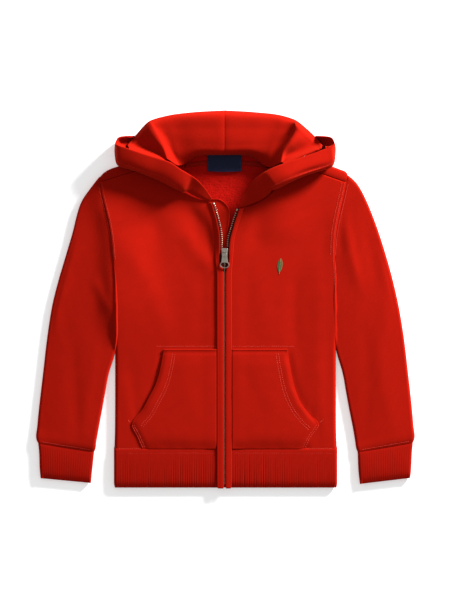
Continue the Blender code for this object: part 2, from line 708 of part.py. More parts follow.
def wall_along_run(table, edge):
    """How far along each section the wall reaches in, for an edge that crosses the sections aslant."""
    tangent = np.gradient(table[:, edge:edge + 2], axis=0)
    run = table[:, 2:4] - table[:, :2]
    sine = np.abs(tangent[:, 0] * run[:, 1] - tangent[:, 1] * run[:, 0])
    sine = sine / np.linalg.norm(tangent, axis=1) / np.linalg.norm(run, axis=1)
    return WALL / np.maximum(sine, 0.22)


def armhole_bow(first, side):
    """Shares along the first section of a sleeve, and how far the armhole seam bows out of it there."""
    outer, inner = first[:2], first[2:4]
    length = np.hypot(*(inner - outer))
    run = (inner - outer) / length
    y = np.linspace(outer[1], inner[1], 13)
    seam = np.column_stack([body_edge(y, side) + math.copysign(ARM_SEAM, outer[0]), y]) - outer
    return np.array([seam @ run / length, seam @ np.array([-run[1], run[0]])])


def sleeve(name, table, side):
    """Sleeve: a flattened tube through its sections, the first of which follows the armhole seam."""
    top, below, end_steps = 10, 9, 3
    place = np.arange(len(table))
    shares = np.linspace(0.0, 1.0, top)
    walls = zip(wall_along_run(table, 0), wall_along_run(table, 2))
    seam = armhole_bow(table[0], side)
    outer, inner = [], []
    for row, at, (outer_wall, inner_wall) in zip(table, place, walls):
        bend = seam * np.array([[1.0], [max(0.0, 1.0 - at / 2.5) ** 2]])
        ring = tube_section(row, shares, end_steps, below, bend)
        core = tube_core(row, shares, end_steps, below, bend, outer_wall, inner_wall)
        for share, first, last, height, width in SLEEVE_FOLDS:
            here = soft_step(at, first - 0.8, first + 0.8) * (1.0 - soft_step(at, last - 0.8, last + 0.8))
            lift = height * here * np.exp(-(((shares - share) / width) ** 2))
            ring[:top, 2] += lift
            core[:top, 2] += lift
        outer.append(ring)
        inner.append(core)
    return walled_loft(name, np.array(outer), np.array(inner), CLOTH, closed=True)


def cuff(name, table):
    """Ribbed cuff: a flattened tube, ribs along it on its upper run, plain below and inside."""
    width = np.hypot(*(table[1, :2] - table[1, 2:4]))
    ribs = int(round((width - 8.0) / RIB_PITCH))
    top, below, end_steps = 2 * ribs + 1, 5, 3
    shares = np.linspace(0.0, 1.0, top)
    crest = np.arange(top) % 2
    outer, inner = [], []
    for i, row in enumerate(table):
        ring = tube_section(row, shares, end_steps, below, STRAIGHT)
        depth = RIB_HEIGHT * (0.35 if i == 0 else 1.0)
        ring[:top, 2] -= depth * (1 - crest)
        outer.append(ring)
        inner.append(tube_core(row, shares, end_steps, below, STRAIGHT, WALL, WALL))
    return walled_loft(name, np.array(outer), np.array(inner)[[0, -1]], RIB, closed=True)


def waistband():
    """Waistband: one ribbed band from the zip edge round the back to the other zip edge."""
    front_x = {1: -3.8, 2: 1.8}
    side_x = {1: -158.3, 2: 159.2}
    height = FRONT_TOP + 0.5
    radius = height / 2.0
    floor = WALL + 0.2
    half = np.linspace(0.0, math.pi, 7)[1:-1]

    def run(thick):
        """Path round the band at a depth below its outer face, with 1 at the crest of each rib."""
        r = radius - thick
        x, z, crest = [], [], []
        for side in (1, 2):
            start, turn = front_x[side], side_x[side] - math.copysign(radius, side_x[side])
            ribs = int(round(abs(turn - start) / RIB_PITCH))
            top_x = np.linspace(start, turn, 2 * ribs + 1)
            arc_x = turn + math.copysign(1.0, side_x[side]) * r * np.sin(half)
            part_x = np.concatenate([top_x, arc_x])
            part_z = np.concatenate([np.full(len(top_x), radius + r), radius + r * np.cos(half)])
            part_c = np.concatenate([np.arange(len(top_x)) % 2, np.ones(len(arc_x))])
            order = slice(None) if side == 1 else slice(None, None, -1)
            x.append(part_x[order])
            z.append(part_z[order])
            crest.append(part_c[order])
        under = np.linspace(side_x[1] + radius, side_x[2] - radius, 14)
        x.insert(1, under)
        z.insert(1, np.full(14, radius - r))
        crest.insert(1, np.ones(14))
        return np.concatenate(x), np.concatenate(z), np.concatenate(crest)

    x_out, z_out, crest = run(0.0)
    x_in, z_in, _ = run(WALL)
    z_in[z_in < radius] = np.maximum(z_in[z_in < radius], floor)
    # rows: y | share of the rib depth | drop of the edge
    rows = (
        (WAIST_SEAM_Y - SEAM, 0.3, 0.0),
        (WAIST_SEAM_Y - 5.0, 1.0, 0.0),
        (HEM_Y + 1.4, 1.0, 0.0),
        (HEM_Y, 0.6, 0.7),
    )
    outer, inner = [], []
    for y, depth, drop in rows:
        top_side = z_out > radius + 0.5
        z = z_out - RIB_HEIGHT * depth * (1.0 - crest) - drop * top_side
        outer.append(np.column_stack([x_out, np.full_like(x_out, y), z]))
        inner.append(np.column_stack([x_in, np.full_like(x_in, y), z_in]))
    return walled_loft("waistband", np.array(outer), np.array(inner)[[0, -1]], RIB, closed=False)


# ---- Zip -------------------------------------------------------------------------------------------------


def zip_rows(table):
    """Rows of a zip edge: straight up to the slider, then a smooth curve to the neck."""
    return np.vstack([table[:3], smooth(table[3:], 2)])


def zip_flap(name, table):
    """Folded strip over the zip: a rounded flat section carried along its two edges."""
    rows = zip_rows(table)
    # section of the strip: share across | height | inset
    section = ((0, 0.0, 0.0), (0, 0.7, 0.0), (0, 1.0, 1.0), (1, 1.0, -1.0), (1, 0.7, 0.0), (1, 0.0, 0.0))
    rings = []
    for y, inner_x, outer_x in rows:
        way = math.copysign(1.0, outer_x - inner_x)
        ring = [
            ((outer_x if side else inner_x) + way * inset, y, FLAP_BASE + FLAP_THICK * high)
            for side, high, inset in section
        ]
        rings.append(ring)
    return closed_loft(name, np.array(rings), CLOTH)


def strip(name, rows, base, thickness, finish):
    """Flat strip between two edges: rows of y | one edge x | other edge x."""
    points = np.array([[(a, y, base + thickness), (b, y, base + thickness)] for y, a, b in rows])
    return cloth_sheet(name, points, finish, thickness)


def zip_tape(name, table, outward_sign):
    """Zip tape: below its flap, standing out a little past it above the slider."""
    rows = zip_rows(table)[1:]
    shows = TAPE_SHOWS * soft_step(rows[:, 0], 52.0, 90.0)
    closed = ZIP_X + outward_sign * 0.25
    blend = soft_step(rows[:, 0], 50.0, 74.0)
    inner = closed * (1.0 - blend) + (rows[:, 1] - outward_sign * shows) * blend
    outer = inner + outward_sign * TAPE_WIDTH
    return strip(name, np.column_stack([rows[:, 0], inner, outer]), TAPE_BASE, TRIM, TAPE)


def box_at(name, size, centre, finish, bevel=0.0):
    """Box of a size at a centre, in millimetres, with rounded edges."""
    bpy.ops.mesh.primitive_cube_add(size=1.0, location=Vector(centre) * MM)
    made = bpy.context.active_object
    made.name = name
    made.data.name = name
    made.data.transform(made.matrix_world.to_3x3().to_4x4())
    for vertex in made.data.vertices:
        vertex.co = [c * s * MM for c, s in zip(vertex.co, size)]
    made.data.materials.append(finish)
    for owner in made.users_collection:
        owner.objects.unlink(made)
    GARMENT.objects.link(made)
    if bevel:
        rounding = made.modifiers.new("edges", "BEVEL")
        rounding.width = bevel * MM
        rounding.segments = 2
    return made


def taper(made, low, high):
    """Narrow a box along Y: low and high are the scales of its two ends in X."""
    for vertex in made.data.vertices:
        vertex.co.x *= low if vertex.co.y < 0.0 else high


def union(target, *others):
    """Join solids into the target with a Boolean and hide the ones that were joined."""
    for other in others:
        joined = target.modifiers.new("join", "BOOLEAN")
        joined.operation = "UNION"
        joined.solver = "EXACT"
        joined.object = other
        set_aside(other)


def cut(target, cutter):
    """Cut one solid out of the target with a Boolean."""
    bored = target.modifiers.new("cut", "BOOLEAN")
    bored.operation = "DIFFERENCE"
    bored.solver = "EXACT"
    bored.object = cutter
    set_aside(cutter)


def set_aside(helper):
    """Move a helper solid to the cutters' collection, out of the model."""
    for owner in helper.users_collection:
        owner.objects.unlink(helper)
    CUTTERS.objects.link(helper)
    helper.hide_render = True
    helper.display_type = "WIRE"


def cylinder_at(name, radius, depth, centre, finish, along_x=False, sides=20):
    """Cylinder in millimetres, upright or along X."""
    turn = (0.0, math.pi / 2.0, 0.0) if along_x else (0.0, 0.0, 0.0)
    bpy.ops.mesh.primitive_cylinder_add(
        vertices=sides, radius=radius * MM, depth=depth * MM, location=Vector(centre) * MM, rotation=turn
    )
    made = bpy.context.active_object
    made.name = name
    made.data.materials.append(finish)
    for owner in made.users_collection:
        owner.objects.unlink(made)
    GARMENT.objects.link(made)
    return made


def zip_slider():
    """Slider body, wider towards the open end, with a bail of two ears and a pin on top."""
    top = SLIDER_BASE + SLIDER_HEIGHT
    body = box_at("zip_slider", (SLIDER_WIDTH, SLIDER_LENGTH, SLIDER_HEIGHT),
                  (ZIP_X, SLIDER_Y, SLIDER_BASE + SLIDER_HEIGHT / 2.0), METAL, 0.8)
    taper(body, 0.78, 1.0)
    ear_height = PULL_AXIS_Z + 0.9 - top + 0.5
    ear_z = top - 0.5 + ear_height / 2.0
    helpers = []
    for sign in (-1.0, 1.0):
        ear_x = ZIP_X + sign * (BAIL_GAP / 2.0 + 0.9)
        helpers.append(box_at("bail_ear", (1.2, 2.4, ear_height), (ear_x, PULL_AXIS_Y, ear_z), METAL))
    axis = (ZIP_X, PULL_AXIS_Y, PULL_AXIS_Z)
    helpers.append(cylinder_at("bail_pin", PIN_RADIUS, BAIL_GAP + 1.9, axis, METAL, True, 10))
    union(body, *helpers)
    return body


def zip_pull():
    """Pull tab: an eye round the bail's pin, a plate with a hole, and a ring at its end."""
    plate_far = PULL_AXIS_Y - PULL_LENGTH
    plate_near = PULL_AXIS_Y - 2.2
    length = plate_near - plate_far
    plate = box_at("zip_pull", (PULL_WIDTH, length, PULL_THICK),
                   (ZIP_X, (plate_near + plate_far) / 2.0, PULL_AXIS_Z), METAL, 0.3)
    taper(plate, 1.0, 0.66)
    axis = (ZIP_X, PULL_AXIS_Y, PULL_AXIS_Z)
    hole_at = (ZIP_X, PULL_AXIS_Y - HOLE_ALONG, PULL_AXIS_Z)
    neck_width = BAIL_GAP - 0.8
    neck = box_at("pull_neck", (neck_width, 4.6, PULL_THICK), (ZIP_X, plate_near + 0.6, PULL_AXIS_Z), METAL)
    eye = cylinder_at("pull_eye", EYE_RADIUS, neck_width, axis, METAL, True, 16)
    union(plate, neck, eye, pull_ring(plate_far))
    cut(plate, cylinder_at("pull_bore", PIN_RADIUS + PIN_CLEARANCE, BAIL_GAP + 2.0, axis, METAL, True, 16))
    cut(plate, cylinder_at("pull_hole", HOLE_RADIUS, 6.0, hole_at, METAL, False, 16))
    return plate


def pull_ring(plate_far):
    """Ring of wire at the end of the pull: a torus drawn out to an oval."""
    bpy.ops.mesh.primitive_torus_add(
        major_segments=20, minor_segments=6, major_radius=1.0, minor_radius=0.2,
        location=Vector((ZIP_X, plate_far - RING_HALF_DEPTH + 1.0, PULL_AXIS_Z)) * MM,
    )
    made = bpy.context.active_object
    made.name = "pull_ring"
    for vertex in made.data.vertices:
        angle = math.atan2(vertex.co.y, vertex.co.x)
        away = math.hypot(vertex.co.x, vertex.co.y) - 1.0
        along = (RING_HALF_WIDTH + away / 0.2 * RING_WIRE) * math.cos(angle)
        across = (RING_HALF_DEPTH + away / 0.2 * RING_WIRE) * math.sin(angle)
        vertex.co = (along * MM, across * MM, vertex.co.z / 0.2 * RING_WIRE * MM)
    made.data.materials.append(METAL)
    return made


# ---- Hood ------------------------------------------------------------------------------------------------


def hood_outer(name, table):
    """Outer side of the hood: from the face edge over and down to its fold, then under to the neck seam.

    Each section is two Bezier arcs. Where the fold hangs over the root, the first reaches it going straight
    down and the second ends lying flat. Where it doesn't, near the zip, both run nearly straight.
    """
    rows = smooth(table, 2)
    t_top = np.linspace(0.0, 1.0, 6)[:, None]
    t_low = np.linspace(0.0, 1.0, 4)[1:, None]
    up = np.array([0.0, 0.0, 1.0])
    points = []
    for row in rows:
        edge, fold, root = row[:3], row[3:6], row[6:]
        out = (fold - edge) * (1.0, 1.0, 0.0)
        back = (fold - root) * (1.0, 1.0, 0.0)
        hang = soft_step(np.dot(back, out) / np.linalg.norm(out), -1.0, 6.0)
        soft = edge + 0.45 * out
        sheer = fold + 0.6 * (edge[2] - fold[2]) * up
        under = fold - 0.7 * (fold[2] - root[2]) * up
        flat = root + 0.55 * back
        a = (edge, mix((2 * edge + fold) / 3, soft, hang), mix((edge + 2 * fold) / 3, sheer, hang), fold)
        b = (fold, mix((2 * fold + root) / 3, under, hang), mix((fold + 2 * root) / 3, flat, hang), root)
        points.append(np.vstack([bezier(a, t_top), bezier(b, t_low)]))
    return cloth_sheet(name, np.array(points), CLOTH, even=False)


def mix(a, b, share):
    """Point between a and b."""
    return a * (1.0 - share) + b * share


def bezier(p, t):
    """Cubic Bezier through four control points at the parameters t."""
    return (1 - t) ** 3 * p[0] + 3 * (1 - t) ** 2 * t * p[1] + 3 * (1 - t) * t**2 * p[2] + t**3 * p[3]


def hood_lining(name, table, outer_table):
    """Inside of one half of the hood: wing and dome in one sheet that rolls over at the top.

    Its face edge lies along the face edge of the hood's outer side, as far as the hood's corner.
    """
    points = smooth_net(table, 2, 3)
    edge = smooth(outer_table[:EAR_ROW], 2)
    sewn = points[:2 * SEWN_ROWS - 1, 0]
    sewn[:, 1] = np.interp(np.abs(sewn[:, 0]), np.abs(edge[:, 0]), edge[:, 1]) + FACE_SEAM
    sewn[:, 2] = np.interp(np.abs(sewn[:, 0]), np.abs(edge[:, 0]), edge[:, 2]) - LAP
    return cloth_sheet(name, points, CLOTH, LINING, even=False)


def top_of(tree, x, y):
    """Height of a surface over a plan point."""
    hit, _, _, _ = tree.ray_cast(Vector((x * MM, y * MM, 1.0)), Vector((0.0, 0.0, -1.0)))
    return hit.z / MM


def underside(tree, x, y):
    """Lowest height of the lining's lower face around a plan point, or the heap's own top where none is."""
    heights = []
    for dx in (-14, -7, 0, 7, 14):
        for dy in (-6, 0, 6):
            start = Vector(((x + dx) * MM, (y + dy) * MM, 1.0))
            hit, normal, _, _ = tree.ray_cast(start, Vector((0.0, 0.0, -1.0)))
            if hit is not None:
                heights.append(hit.z / MM - (LINING + CORE_GAP) / max(abs(normal.z), 0.4))
    return max(min(heights, default=HEAP_HEIGHT), HEAP_HEIGHT) + 0.4


def hood_folds(linings):
    """Hidden layers of the hood: a layered edge below, and a core that fills the hood's inside above it.

    Its rings run from one end along the back edge to the other end and home along the front edge. The core
    has its back and front edges on a rounded oblong, and its top is laced across from back to front.
    """
    back, front = HEAP_OUTLINE[:, :2], HEAP_OUTLINE[:, 2:]
    outline = np.vstack([HEAP_ENDS[:1], back, HEAP_ENDS[1:], front[::-1]])
    rings = []
    for level in np.linspace(0.0, 1.0, 4 * HEAP_LAYERS + 1):
        bulge = HEAP_ROLL * (abs(math.sin(math.pi * HEAP_LAYERS * level)) - 1.0)
        rings.append(np.column_stack([inset(outline, -bulge), np.full(len(outline), level * HEAP_HEIGHT)]))
    tree = joined_tree(linings)
    across = (outline[:, 0] - HEAP_ENDS[0, 0]) / (HEAP_ENDS[1, 0] - HEAP_ENDS[0, 0]) * 2.0 - 1.0
    half = (1.0 - np.abs(across) ** CORE_POWER) ** (1.0 / CORE_POWER)
    side = np.zeros(len(outline))
    side[1:len(back) + 1] = 1.0
    side[len(back) + 2:] = -1.0
    foot = CORE_CENTRE + CORE_FOOT * CORE_HALF_SIZE * np.column_stack([across, side * half])
    rings.append(np.column_stack([foot, np.full(len(foot), HEAP_HEIGHT + 0.2)]))
    for share in (1.0, 0.6, 0.2):
        plan = CORE_CENTRE + CORE_HALF_SIZE * np.column_stack([across, share * side * half])
        z = np.array([underside(tree, x, y) for x, y in plan])
        rings.append(np.column_stack([plan, z]))
    count, last = len(outline), (len(rings) - 1) * len(outline)
    faces = grid_faces(len(rings), count, closed=True)
    faces.append(tuple(range(count)))
    for i in range(len(back) + 1):
        laced = (i, i + 1, (count - i - 1) % count, (count - i) % count)
        faces.append(tuple(last + k for k in dict.fromkeys(laced)))
    points = np.array(rings).reshape(-1, 3)
    return outward(add_object("hood_folds", make_mesh("hood_folds", points, faces), CLOTH))


def joined_tree(objects):
    """Search tree over the open surfaces of some objects."""
    points, faces = [], []
    for made in objects:
        first = len(points)
        points += [vertex.co.copy() for vertex in made.data.vertices]
        faces += [[first + i for i in face.vertices] for face in made.data.polygons]
    return BVHTree.FromPolygons(points, faces)


def inset(outline, distance):
    """Closed outline moved inwards by a distance, along the mean of each corner's two normals."""
    before, after = np.roll(outline, 1, axis=0), np.roll(outline, -1, axis=0)
    way = (after - before) / np.linalg.norm(after - before, axis=1)[:, None]
    normal = np.column_stack([way[:, 1], -way[:, 0]])
    return outline + distance * normal


# ---- Neck trim -------------------------------------------------------------------------------------------


def neck_tape():
    """Tape along the back neck seam, on the inside of the back."""
    arc = smooth(TAPE_ARC, 3)
    top = BACK_TOP + LAP + TRIM
    points = np.array([[(x, y, top), (x, y - NECK_TAPE_DEPTH, top)] for x, y in arc])
    return cloth_sheet("neck_tape", points, TAPE, TRIM)


def neck_label():
    """Bare woven label sewn over the tape, its free edge bowed a little."""
    across = np.linspace(-0.5, 0.5, 9)
    down = np.linspace(0.0, 1.0, 5)
    points = []
    for d in down:
        y = LABEL_TOP_Y - LABEL_DEPTH * d - 1.0 * d * (1.0 - (2.0 * across) ** 2)
        z = LABEL_BASE + TRIM + 0.9 * d**2 * (1.0 - (2.0 * across) ** 2)
        points.append(np.column_stack([LABEL_X + LABEL_WIDTH * across, y, z]))
    return cloth_sheet("neck_label", np.array(points), LABEL, TRIM)


for leftover in list(bpy.data.objects):
    bpy.data.objects.remove(leftover, do_unlink=True)

GARMENT = bpy.data.collections.new("kids_hoodie")
CUTTERS = bpy.data.collections.new("cutters")
bpy.context.scene.collection.children.link(GARMENT)
bpy.context.scene.collection.children.link(CUTTERS)
CLOTH = material("red_fleece", RED, 0.9)
RIB = material("red_rib", RED_RIB, 0.9)
TAPE = material("red_tape", RED_TAPE, 0.85)
LABEL = material("navy_label", NAVY, 0.7)
METAL = material("pewter", PEWTER, 0.4, 1.0)

back_panel()
FRONT_OF_RIGHT = front_panel("front_right", FRONT_RIGHT, 1)
FRONT_OF_LEFT = front_panel("front_left", FRONT_LEFT, 2)
sleeve("sleeve_right", SLEEVE_RIGHT, 1)
sleeve("sleeve_left", SLEEVE_LEFT, 2)
cuff("cuff_right", CUFF_RIGHT)
cuff("cuff_left", CUFF_LEFT)
waistband()
pocket("pocket_right", POCKET_RIGHT, -12.6, FRONT_OF_RIGHT)
pocket("pocket_left", POCKET_LEFT, 9.6, FRONT_OF_LEFT)
zip_flap("zip_flap_right", FLAP_RIGHT)
zip_flap("zip_flap_left", FLAP_LEFT)
zip_tape("zip_tape_right", FLAP_RIGHT, -1.0)
zip_tape("zip_tape_left", FLAP_LEFT, 1.0)
strip("zip_guard", smooth(ZIP_GUARD, 2), GUARD_BASE, TRIM + 0.8, CLOTH)
zip_slider()
zip_pull()
hood_outer("hood_outer_right", HOOD_OUTER_RIGHT)
hood_outer("hood_outer_left", HOOD_OUTER_LEFT)
LINING_RIGHT = hood_lining("hood_lining_right", HOOD_LINING_RIGHT, HOOD_OUTER_RIGHT)
LINING_LEFT = hood_lining("hood_lining_left", HOOD_LINING_LEFT, HOOD_OUTER_LEFT)
hood_folds([LINING_RIGHT, LINING_LEFT])
neck_tape()
neck_label()
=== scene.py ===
"""Kids hoodie with a full zip, laid flat: the finished cloth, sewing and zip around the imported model.

Sizes are in millimetres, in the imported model's own frame: hem towards -Y, hood towards +Y, zip along Y, the
wearer's left on the +X side. "Right" and "left" are the wearer's, and a side is the sign of x there.
"""

import math

import bpy
import numpy as np
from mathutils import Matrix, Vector


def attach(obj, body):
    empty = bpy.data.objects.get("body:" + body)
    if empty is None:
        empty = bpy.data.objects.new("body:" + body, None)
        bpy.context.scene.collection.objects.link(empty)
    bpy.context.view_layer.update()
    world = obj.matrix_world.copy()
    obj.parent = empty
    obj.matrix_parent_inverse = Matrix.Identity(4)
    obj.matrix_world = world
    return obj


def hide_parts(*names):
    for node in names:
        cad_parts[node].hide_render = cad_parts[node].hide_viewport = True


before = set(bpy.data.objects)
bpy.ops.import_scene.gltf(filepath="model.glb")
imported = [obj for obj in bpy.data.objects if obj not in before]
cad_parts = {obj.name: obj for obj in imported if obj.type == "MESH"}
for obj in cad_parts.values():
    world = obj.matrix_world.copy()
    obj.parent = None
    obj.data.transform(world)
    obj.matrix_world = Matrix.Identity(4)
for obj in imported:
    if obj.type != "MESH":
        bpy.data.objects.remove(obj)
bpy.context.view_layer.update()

MM = 0.001
TAU = 2 * math.pi
UP = np.array([0.0, 0.0, 1.0])
RIGHT, LEFT = -1, 1
SIDES = {RIGHT: "right", LEFT: "left"}

# ---- Camera, light and table -----------------------------------------------------------------------------

CAMERA_HEIGHT = 5.0
VIEW_LONG_SIDE = 0.852  # of the table that the long side of the picture takes in
VIEW_CENTRE = (-0.00043, -0.00099)
CLOTH_LEVEL = 0.008
SENSOR = 36
LIGHT_SIDE = 44  # degrees from +X towards +Y
LIGHT_HEIGHT = 15.5  # degrees above the table
LIGHT_DISTANCE = 2.7
LIGHT_SIZE = 0.62
LIGHT_POWER = 302
SURROUND = 0.48
TABLE_HALF = 8
TABLE_LEVEL = -0.0003
TABLE_GLOW = 0.36


def add_camera():
    """Camera straight above the garment, hood at the top of the picture."""
    data = bpy.data.cameras.new("camera")
    data.sensor_width = SENSOR
    data.lens = SENSOR * (CAMERA_HEIGHT - CLOTH_LEVEL) / VIEW_LONG_SIDE
    data.clip_start, data.clip_end = 0.1, 50
    camera = bpy.data.objects.new("camera", data)
    camera.location = (*VIEW_CENTRE, CAMERA_HEIGHT)
    bpy.context.scene.collection.objects.link(camera)
    bpy.context.scene.camera = camera


def add_light():
    """One broad soft box at the upper right and an even pale surround."""
    data = bpy.data.lights.new("soft_box", "AREA")
    data.energy = LIGHT_POWER
    data.size = LIGHT_SIZE
    lamp = bpy.data.objects.new("soft_box", data)
    side, height = math.radians(LIGHT_SIDE), math.radians(LIGHT_HEIGHT)
    towards = Vector((math.cos(side) * math.cos(height), math.sin(side) * math.cos(height), math.sin(height)))
    lamp.location = LIGHT_DISTANCE * towards
    lamp.rotation_euler = towards.to_track_quat("Z", "Y").to_euler()
    lamp.visible_camera = False
    bpy.context.scene.collection.objects.link(lamp)
    world = bpy.data.worlds.new("surround")
    world.use_nodes = True
    background = world.node_tree.nodes["Background"].inputs
    background["Color"].default_value = (1, 1, 1, 1)
    background["Strength"].default_value = SURROUND
    bpy.context.scene.world = world
    bpy.context.scene.view_settings.view_transform = "Standard"


# ---- Tables of the garment -------------------------------------------------------------------------------

ROW_STEPS = 6  # of a surface between two rows of its table
WALL = 2.0
TUBE_WALL = 1.6
LINING_WALL = 1.3
GUARD_WALL = 1.5
LABEL_WALL = 0.7
SEAM = -0.7  # between two sewn edges; below zero they press into each other
ARM_SEAM = 0.4  # between a sleeve's edge and the body's outline
LAP = 0.3  # between two layers of cloth
EDGE_LIFT = 0.4  # of a front's side edge off the back
TRIM = 1.0  # thickness of the tapes
BACK_TOP = WALL
FRONT_TOP = 7.5
ZIP_RISE = 0.5
GUARD_TOP = 4.3
TAPE_BASE = 4.7
FLAP_BASE = 8.35
FLAP_THICK = 2.0
ZIP_X = -1
SLIDER_Y = 65
WAIST_SEAM_Y = -213.3
HEM_Y = -267.7
UNDERARM_Y = 56


def per_side(right, left):
    """A table for each side."""
    return {RIGHT: np.array(right, float), LEFT: np.array(left, float)}


# y | right side x | left side x
BODY_SIDE = np.array([
    (-213.3, -157.8, 158.6), (-190, -156.9, 157.5), (-142, -156.6, 157.3), (-71, -156.6, 157.3),
    (0, -156.6, 157.3), (36, -156.9, 156.8), (56, -158.2, 155.4), (74, -159.8, 155.6), (92, -161.8, 156.5),
    (112, -165.2, 159.6), (132, -170.3, 164), (150, -174.9, 168.3), (166, -177.7, 171.5), (176, -179, 174.5),
])

# Rows of a front, hem to shoulder seam: inner edge x | inner edge y | outer edge y
FRONT = per_side([
    (-3.8, -213.3, -213.3), (-3.8, -142, -142), (-3.8, -71, -71), (-3.8, 0, -6), (-4.6, 36, 28), (-9, 52, 47),
    (-9.2, 70, 66), (-10.6, 90, 85), (-14.2, 106, 101), (-18.6, 122, 116), (-21, 137, 130), (-40, 143.4, 142),
    (-57.5, 152.4, 151), (-67, 166, 157), (-68, 184, 162), (-64.3, 204.3, 166),
], [
    (1.8, -213.3, -213.3), (1.8, -142, -142), (1.8, -71, -71), (1.8, 0, -6), (2.6, 36, 28), (7, 52, 47),
    (7.6, 70, 66), (9, 88, 84), (14, 104, 99), (18.4, 118, 113), (21.5, 128.5, 125), (38, 133.4, 139),
    (56, 142.4, 150), (70, 156, 157), (73, 180, 162), (70.3, 203.3, 166.5),
])
ZIP_EDGE_ROWS = 11  # rows of a front that lie along the zip

# Armhole to neck: fold x | fold y | seam x | seam y
SHOULDER = per_side([
    (-178.4, 173.5, -177.3, 166.4), (-173, 179.6, -168, 169.8), (-164, 185, -158, 173.1),
    (-153, 188.8, -148, 176.4), (-124, 198.3, -119, 186.1), (-95, 207.6, -91, 195.5),
    (-67, 216.6, -63.8, 204.7),
], [
    (174, 177.3, 171.3, 166.9), (171.5, 181.2, 165, 169.2), (163.5, 184.6, 157, 172.1),
    (153, 188.6, 147, 175.7), (126, 198, 121, 185.2), (99, 207.3, 95, 194.6), (73, 216.3, 70, 203.7),
])
BACK_NECK = np.array([(-60, 210), (-48, 207.6), (-1, 207), (50, 207.6), (65, 210)])

# Sections of a sleeve, armhole to cuff seam, and of a cuff: outer x | outer y | inner x | inner y | height
SLEEVE = per_side([
    (-179.6, 174, -158.5, 56, 7.5), (-191, 159, -157.6, 30, 8), (-205, 138, -157.2, 2, 8.6),
    (-218.5, 90, -157.2, -26, 8.8), (-229, 55, -157.2, -52, 8.8), (-237.5, 26, -159.4, -78, 8.6),
    (-246, -8, -165.2, -105, 8.4), (-253, -52, -170.5, -133, 8.2), (-259.3, -106, -175.6, -161, 8.2),
    (-264.2, -148, -180, -185, 8.4), (-267.4, -180, -183.2, -203, 8.6), (-268.6, -199, -184.6, -213, 8.4),
    (-266.2, -204.4, -186.4, -217, 7.6),
], [
    (175.2, 176.4, 155.8, 56, 7.5), (187, 165, 158.1, 30, 8), (198, 146, 158, 2, 8.6),
    (214, 107, 158, -26, 8.8), (228, 64, 158.2, -51, 8.8), (238, 28, 161.2, -78, 8.6),
    (246.6, -10, 166.6, -105, 8.4), (253.6, -52, 171.6, -133, 8.2), (259.6, -102, 176.6, -160, 8.2),
    (264.6, -147, 181.2, -183, 8.4), (267.6, -180, 184.4, -202, 8.6), (269, -198, 186.2, -213, 8.4),
    (266.8, -204, 188, -217.2, 7.6),
])
SLEEVE_TUCK = [3, 4.6, 5, 5, 2.6]  # how far the inner edge passes under the body, from the second section on
SLEEVE_LEAN = {RIGHT: 1.9, LEFT: -1.4}  # how much higher the inner edge of a sleeve lies than its middle
SLEEVE_TOP = 48  # columns of a sleeve's upper run
CUFF = per_side([
    (-266.15, -203.9, -186.3, -216.6, 7.6), (-264.6, -219, -187.6, -230, 8), (-264, -240, -189.4, -246, 8),
    (-262.6, -254.4, -190.8, -261.2, 7.2),
], [
    (266.75, -203.5, 187.9, -216.8, 7.6), (265.4, -219, 188.4, -230, 8), (264.4, -240, 189.2, -246, 8),
    (263, -254, 191.2, -262.6, 7.2),
])

# Waistband on each side: zip edge x | side x
WAIST_ENDS = {RIGHT: (-3.8, -158.3), LEFT: (1.8, 159.2)}

# Pockets, waist seam to top: y | opening edge x
POCKET = per_side([
    (-212.6, -118), (-196, -125), (-177, -133), (-170, -129.5), (-157, -118.5), (-139, -108.5), (-118, -98),
    (-94, -91.5), (-71, -87.5),
], [
    (-212.6, 113.5), (-196, 122), (-178, 133), (-164, 120), (-147, 107.5), (-124, 98), (-108, 94.3),
    (-90, 91), (-71, 88),
])
POCKET_INNER = {RIGHT: -12.6, LEFT: 9.6}
POCKET_GAPE = {RIGHT: 1.3, LEFT: 0.8}

# Flaps over the zip, hem to neck: y | inner edge x | outer edge x
FLAP = per_side([
    (-268.6, -3, -10.5), (-265.5, -1.7, -12), (-120, -1.6, -12), (36, -1.8, -12.2), (45, -3.6, -12.8),
    (53, -7.6, -13.8), (70, -7.4, -14.8), (91, -8, -15.4), (104, -10, -17.8), (120, -14, -21.6),
    (130, -17, -24.4), (137.4, -19.6, -26.6),
], [
    (-268.6, 1.2, 7.5), (-265.5, -0.1, 9), (-120, -0.2, 9), (36, 0, 9), (45, 2, 9.4), (53, 4.6, 10.4),
    (70, 5, 11.4), (88, 7.2, 13.4), (100, 10.6, 16.8), (112, 14.2, 20.6), (122, 17.6, 24), (129, 20, 26.6),
])
TAPE_WIDTH = 11
TAPE_SHOWS = 2.2
TOOTH_PITCH = 2.9
TOOTH_INSET = 0.55
ZIP_FOOT_Y = -262
SLIDER_BELOW = 8
SLIDER_ABOVE = 8.5
FLAP_WAVE = {RIGHT: 1, LEFT: 2}  # where the waves along a flap start

# Guard behind the zip: y | right edge x | left edge x
ZIP_GUARD = np.array([
    (-262, -12, 3), (40, -12, 3), (80, -13, 3), (98, -15, 3.6), (116, -18, 5.8), (126, -20, 6),
    (132, -21, 3.4), (137, -22, -1), (141, -22.5, -7), (143.2, -22.8, -14),
])

